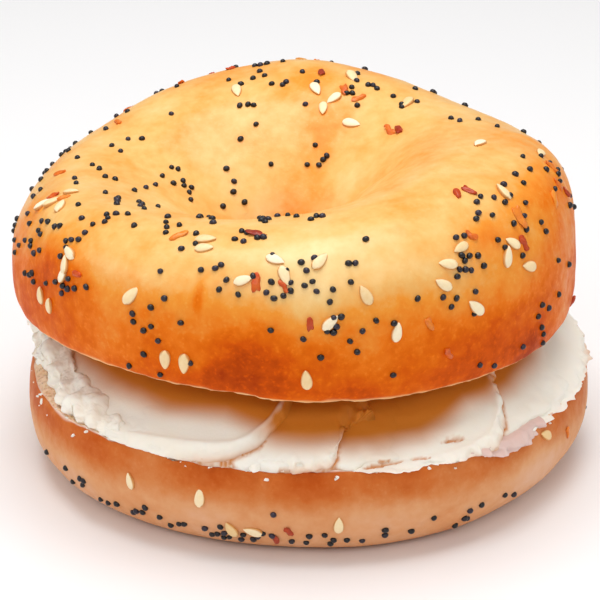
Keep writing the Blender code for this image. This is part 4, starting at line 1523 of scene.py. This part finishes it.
def sesameShape():
    # a flat teardrop: the girth is a half circle made fuller at one end, squared so that its faces are flat
    points, faces = blob(18, 13)
    t = 2.0 * points[:, 0]
    girth = np.sqrt(np.maximum(1.0 - t**2, 0.0)) + 1e-6
    wide = points[:, 1] / (girth / 2.0)
    high = points[:, 2] / (girth / 2.0)
    squared = np.sign(high) * np.abs(high) ** 0.7
    fuller = girth * (1.0 - toppings["sesamePointed"] * t) / 2.0
    rim = eased(np.abs(wide) + 0.35 * np.abs(t) ** 3, 0.80, 1.0)
    shaped = np.stack([points[:, 0], wide * fuller, squared * fuller], axis=-1)
    shaped[np.abs(t) > 0.999] = points[np.abs(t) > 0.999]
    return shaped, faces, rim


def flakeShape(seed):
    # a chip: a flat round with a broken outline, thin at its edges and a little curled
    points, faces = blob(12, 9)
    broken = 1.0 + 0.45 * lumps(points * np.array([1.0, 1.0, 0.2]) + 3.0, 0.33, seed)
    points = points * np.stack([broken, broken, np.ones(len(points))], axis=-1)
    points[:, 2] = points[:, 2] + 0.5 * points[:, 0] ** 2 + 0.4 * lumps(points, 0.4, seed + 5)
    return points, faces, np.zeros(len(points))


def scatter(name, skin, form, facing, rows, sizes, shapes, material, seed):
    # one joined mesh: each seed is a shape times its size, turned in the smooth form's frame and sunk into
    # the skin
    random = np.random.default_rng(seed)
    _, along, aside, normal = crustFrame(form, rows[:, 0], rows[:, 1], facing)
    here = skin(rows[:, 0], rows[:, 1])
    turn = np.radians(rows[:, 2])[:, None]
    longWay = along * np.cos(turn) + aside * np.sin(turn)
    wideWay = aside * np.cos(turn) - along * np.sin(turn)
    tones = np.clip(random.normal(0.5, 0.22, len(rows)), 0.0, 1.0)
    scale = random.uniform(0.9, 1.1, (len(rows), 1))
    spin = random.uniform(0.0, 2.0 * np.pi, len(rows))
    lean = random.normal(0.0, 0.10, (len(rows), 2))
    normal = unit(normal + lean[:, :1] * longWay + lean[:, 1:] * wideWay)
    longWay = unit(longWay - (longWay * normal).sum(axis=1, keepdims=True) * normal)
    wideWay = np.cross(normal, longWay)
    sizes = sizes * scale
    pointSets, faceSets, toneSets, rimSets = [], [], [], []
    first = 0
    for number in range(len(rows)):
        points, faces, rim = shapes[number % len(shapes)]
        if len(shapes) == 1 and rim.max() == 0.0:
            c, s = math.cos(spin[number]), math.sin(spin[number])
            points = points @ np.array([[c, s, 0.0], [-s, c, 0.0], [0.0, 0.0, 1.0]])
        local = points * sizes[number]
        local[:, 2] = local[:, 2] + sizes[number][2] * (0.5 - toppings["sunk"])
        ways = np.stack([longWay[number], wideWay[number], normal[number]])
        pointSets.append(here[number] + local @ ways)
        faceSets += [part + first for part in faces]
        toneSets.append(np.full(len(points), tones[number]))
        rimSets.append(rim)
        first = first + len(points)
    marks = {"tone": np.concatenate(toneSets), "rim": np.concatenate(rimSets)}
    return addMesh(name, np.concatenate(pointSets), faceSets, [material], marks)


def makeToppings(half, skin, form, facing, drifts, reach, start, node, slot):
    # the toppings of one half from their drifts: flakes, sesame, poppy seeds, and the poppy seeds added last
    random = np.random.default_rng(start)
    drawn = [drawPlaces(random, rows) for rows in drifts]
    apart = [toppings["apart"]] * 3 + [toppings["crowded"]]
    flakes, sesame, poppies, more = sortPlaces(form, zip(drawn, apart), reach)
    poppies = np.concatenate([poppies, more])
    flakeSizes = flakes[:, 3:4] * np.array([[1.0, toppings["flakeWide"], 0.0]])
    flakeSizes[:, 2] = toppings["flakeHigh"]
    flakeShapes = [flakeShape(300 + 7 * number) for number in range(6)]
    kinds = (
        ("Flakes", flakes, flakeSizes, flakeShapes, onionRed),
        ("Sesame", sesame, np.tile(toppings["sesame"], (len(sesame), 1)), [sesameShape()], sesameCream),
        ("Poppies", poppies, np.tile(toppings["poppy"], (len(poppies), 1)), [poppyShape()], poppyBlue),
    )
    for number, (kind, rows, sizes, shapes, material) in enumerate(kinds):
        piece = scatter(half + kind, skin, form, facing, rows, sizes, shapes, material, start + 1 + number)
        standFor(piece, node)
    print(half, "toppings:", len(flakes), "flakes,", len(sesame), "sesame,", len(poppies), "poppies")


topToppings = {
    "half": "top",
    "skin": crownSkin,
    "form": crownForm,
    # 1 where the two ways along a crust give its outward side, -1 where they give its inner side
    "facing": 1.0,
    "drifts": (topFlakes, topSesame, topPoppies, topPoppiesMore),
    # how near the cut edge and how far in they lie, and the seed of the draws
    "reach": (0.06, 0.90),
    "start": 20,
    "node": "bagel_top",
    "slot": "top_crust",
}
bottomToppings = {
    "half": "bottom",
    "skin": baseSkin,
    "form": baseForm,
    "facing": -1.0,
    "drifts": (bottomFlakes, bottomSesame, bottomPoppies, bottomPoppiesMore),
    "reach": (0.10, 0.37),
    "start": 21,
    "node": "bagel_bottom",
    "slot": "bottom_crust",
}
makeToppings(**topToppings)
makeToppings(**bottomToppings)


# Studio: a white floor, white surroundings, a large soft light above and a little behind, and the camera.

studio = {
    "floorSide": 4000.0,
    # the light of the surroundings overhead, and its share down at the horizon
    "surroundings": 0.40,
    "horizon": 0.55,
    # each lamp: place, width and height, and power
    "lamps": {
        "softbox": ((-20.0, 40.0, 620.0), 440.0, 440.0, 2.95),
        "frontPanel": ((0.0, -620.0, 500.0), 800.0, 260.0, 1.6),
        "leftPanel": ((-700.0, -160.0, 300.0), 500.0, 320.0, 0.9),
        "rightPanel": ((700.0, -160.0, 300.0), 500.0, 320.0, 0.6),
    },
    "floorColour": (0.93, 0.92, 0.92),
    "floorRoughness": 0.35,
    "floorSpecular": 0.3,
    # the camera: where it aims, how far off and how high it stands, its small shifts, and its lens
    "target": (0.0, 0.0, 25.0),
    "distance": 450.0,
    "elevation": 25.0,
    "aside": -0.77,
    "raised": 0.3,
    "lens": 154.4,
    "sensor": 36.0,
}


def makeFloor():
    side = studio["floorSide"] / 2.0
    points = np.array([[-side, -side, 0.0], [side, -side, 0.0], [side, side, 0.0], [-side, side, 0.0]])
    material, _, shader, _ = newMaterial("studioFloor", studio["floorRoughness"], studio["floorSpecular"])
    shader.inputs["Base Color"].default_value = (*studio["floorColour"], 1.0)
    floor = addMesh("studioFloor", points, [np.array([[0, 1, 2, 3]])], [material])


def makeLights():
    scene = bpy.context.scene
    world = bpy.data.worlds.new("studio")
    scene.world = world
    world.use_nodes = True
    tree = world.node_tree
    background = tree.nodes["Background"]
    background.inputs["Color"].default_value = (1.0, 1.0, 1.0, 1.0)
    upward = put(tree, "ShaderNodeSeparateXYZ", Vector=put(tree, "ShaderNodeTexCoord").outputs["Generated"])
    overhead = studio["surroundings"]
    strength = stretched(tree, upward.outputs["Z"], 0.0, 0.7, overhead * studio["horizon"], overhead)
    tree.links.new(strength, background.inputs["Strength"])
    for name, (place, wide, high, power) in studio["lamps"].items():
        lamp = bpy.data.lights.new(name, "AREA")
        lamp.shape = "RECTANGLE"
        lamp.size = wide * mm
        lamp.size_y = high * mm
        lamp.energy = power
        obj = bpy.data.objects.new(name, lamp)
        obj.location = [part * mm for part in place]
        aim = mathutils.Vector(studio["target"]) - mathutils.Vector(place)
        obj.rotation_euler = aim.to_track_quat("-Z", "Y").to_euler()
        scene.collection.objects.link(obj)
    scene.view_settings.view_transform = "Standard"


def makeCamera():
    scene = bpy.context.scene
    camera = bpy.data.cameras.new("view")
    camera.lens = studio["lens"]
    camera.sensor_width = studio["sensor"]
    camera.clip_start = 0.01
    obj = bpy.data.objects.new("view", camera)
    rise = math.radians(studio["elevation"])
    back = np.array([0.0, -math.cos(rise), math.sin(rise)])
    up = np.array([0.0, math.sin(rise), math.cos(rise)])
    place = np.array(studio["target"]) + back * studio["distance"] + up * studio["raised"]
    place = place + np.array([studio["aside"], 0.0, 0.0])
    obj.location = (place * mm).tolist()
    obj.rotation_euler = (math.pi / 2.0 - rise, 0.0, 0.0)
    scene.collection.objects.link(obj)
    scene.camera = obj


makeFloor()
makeLights()
makeCamera()
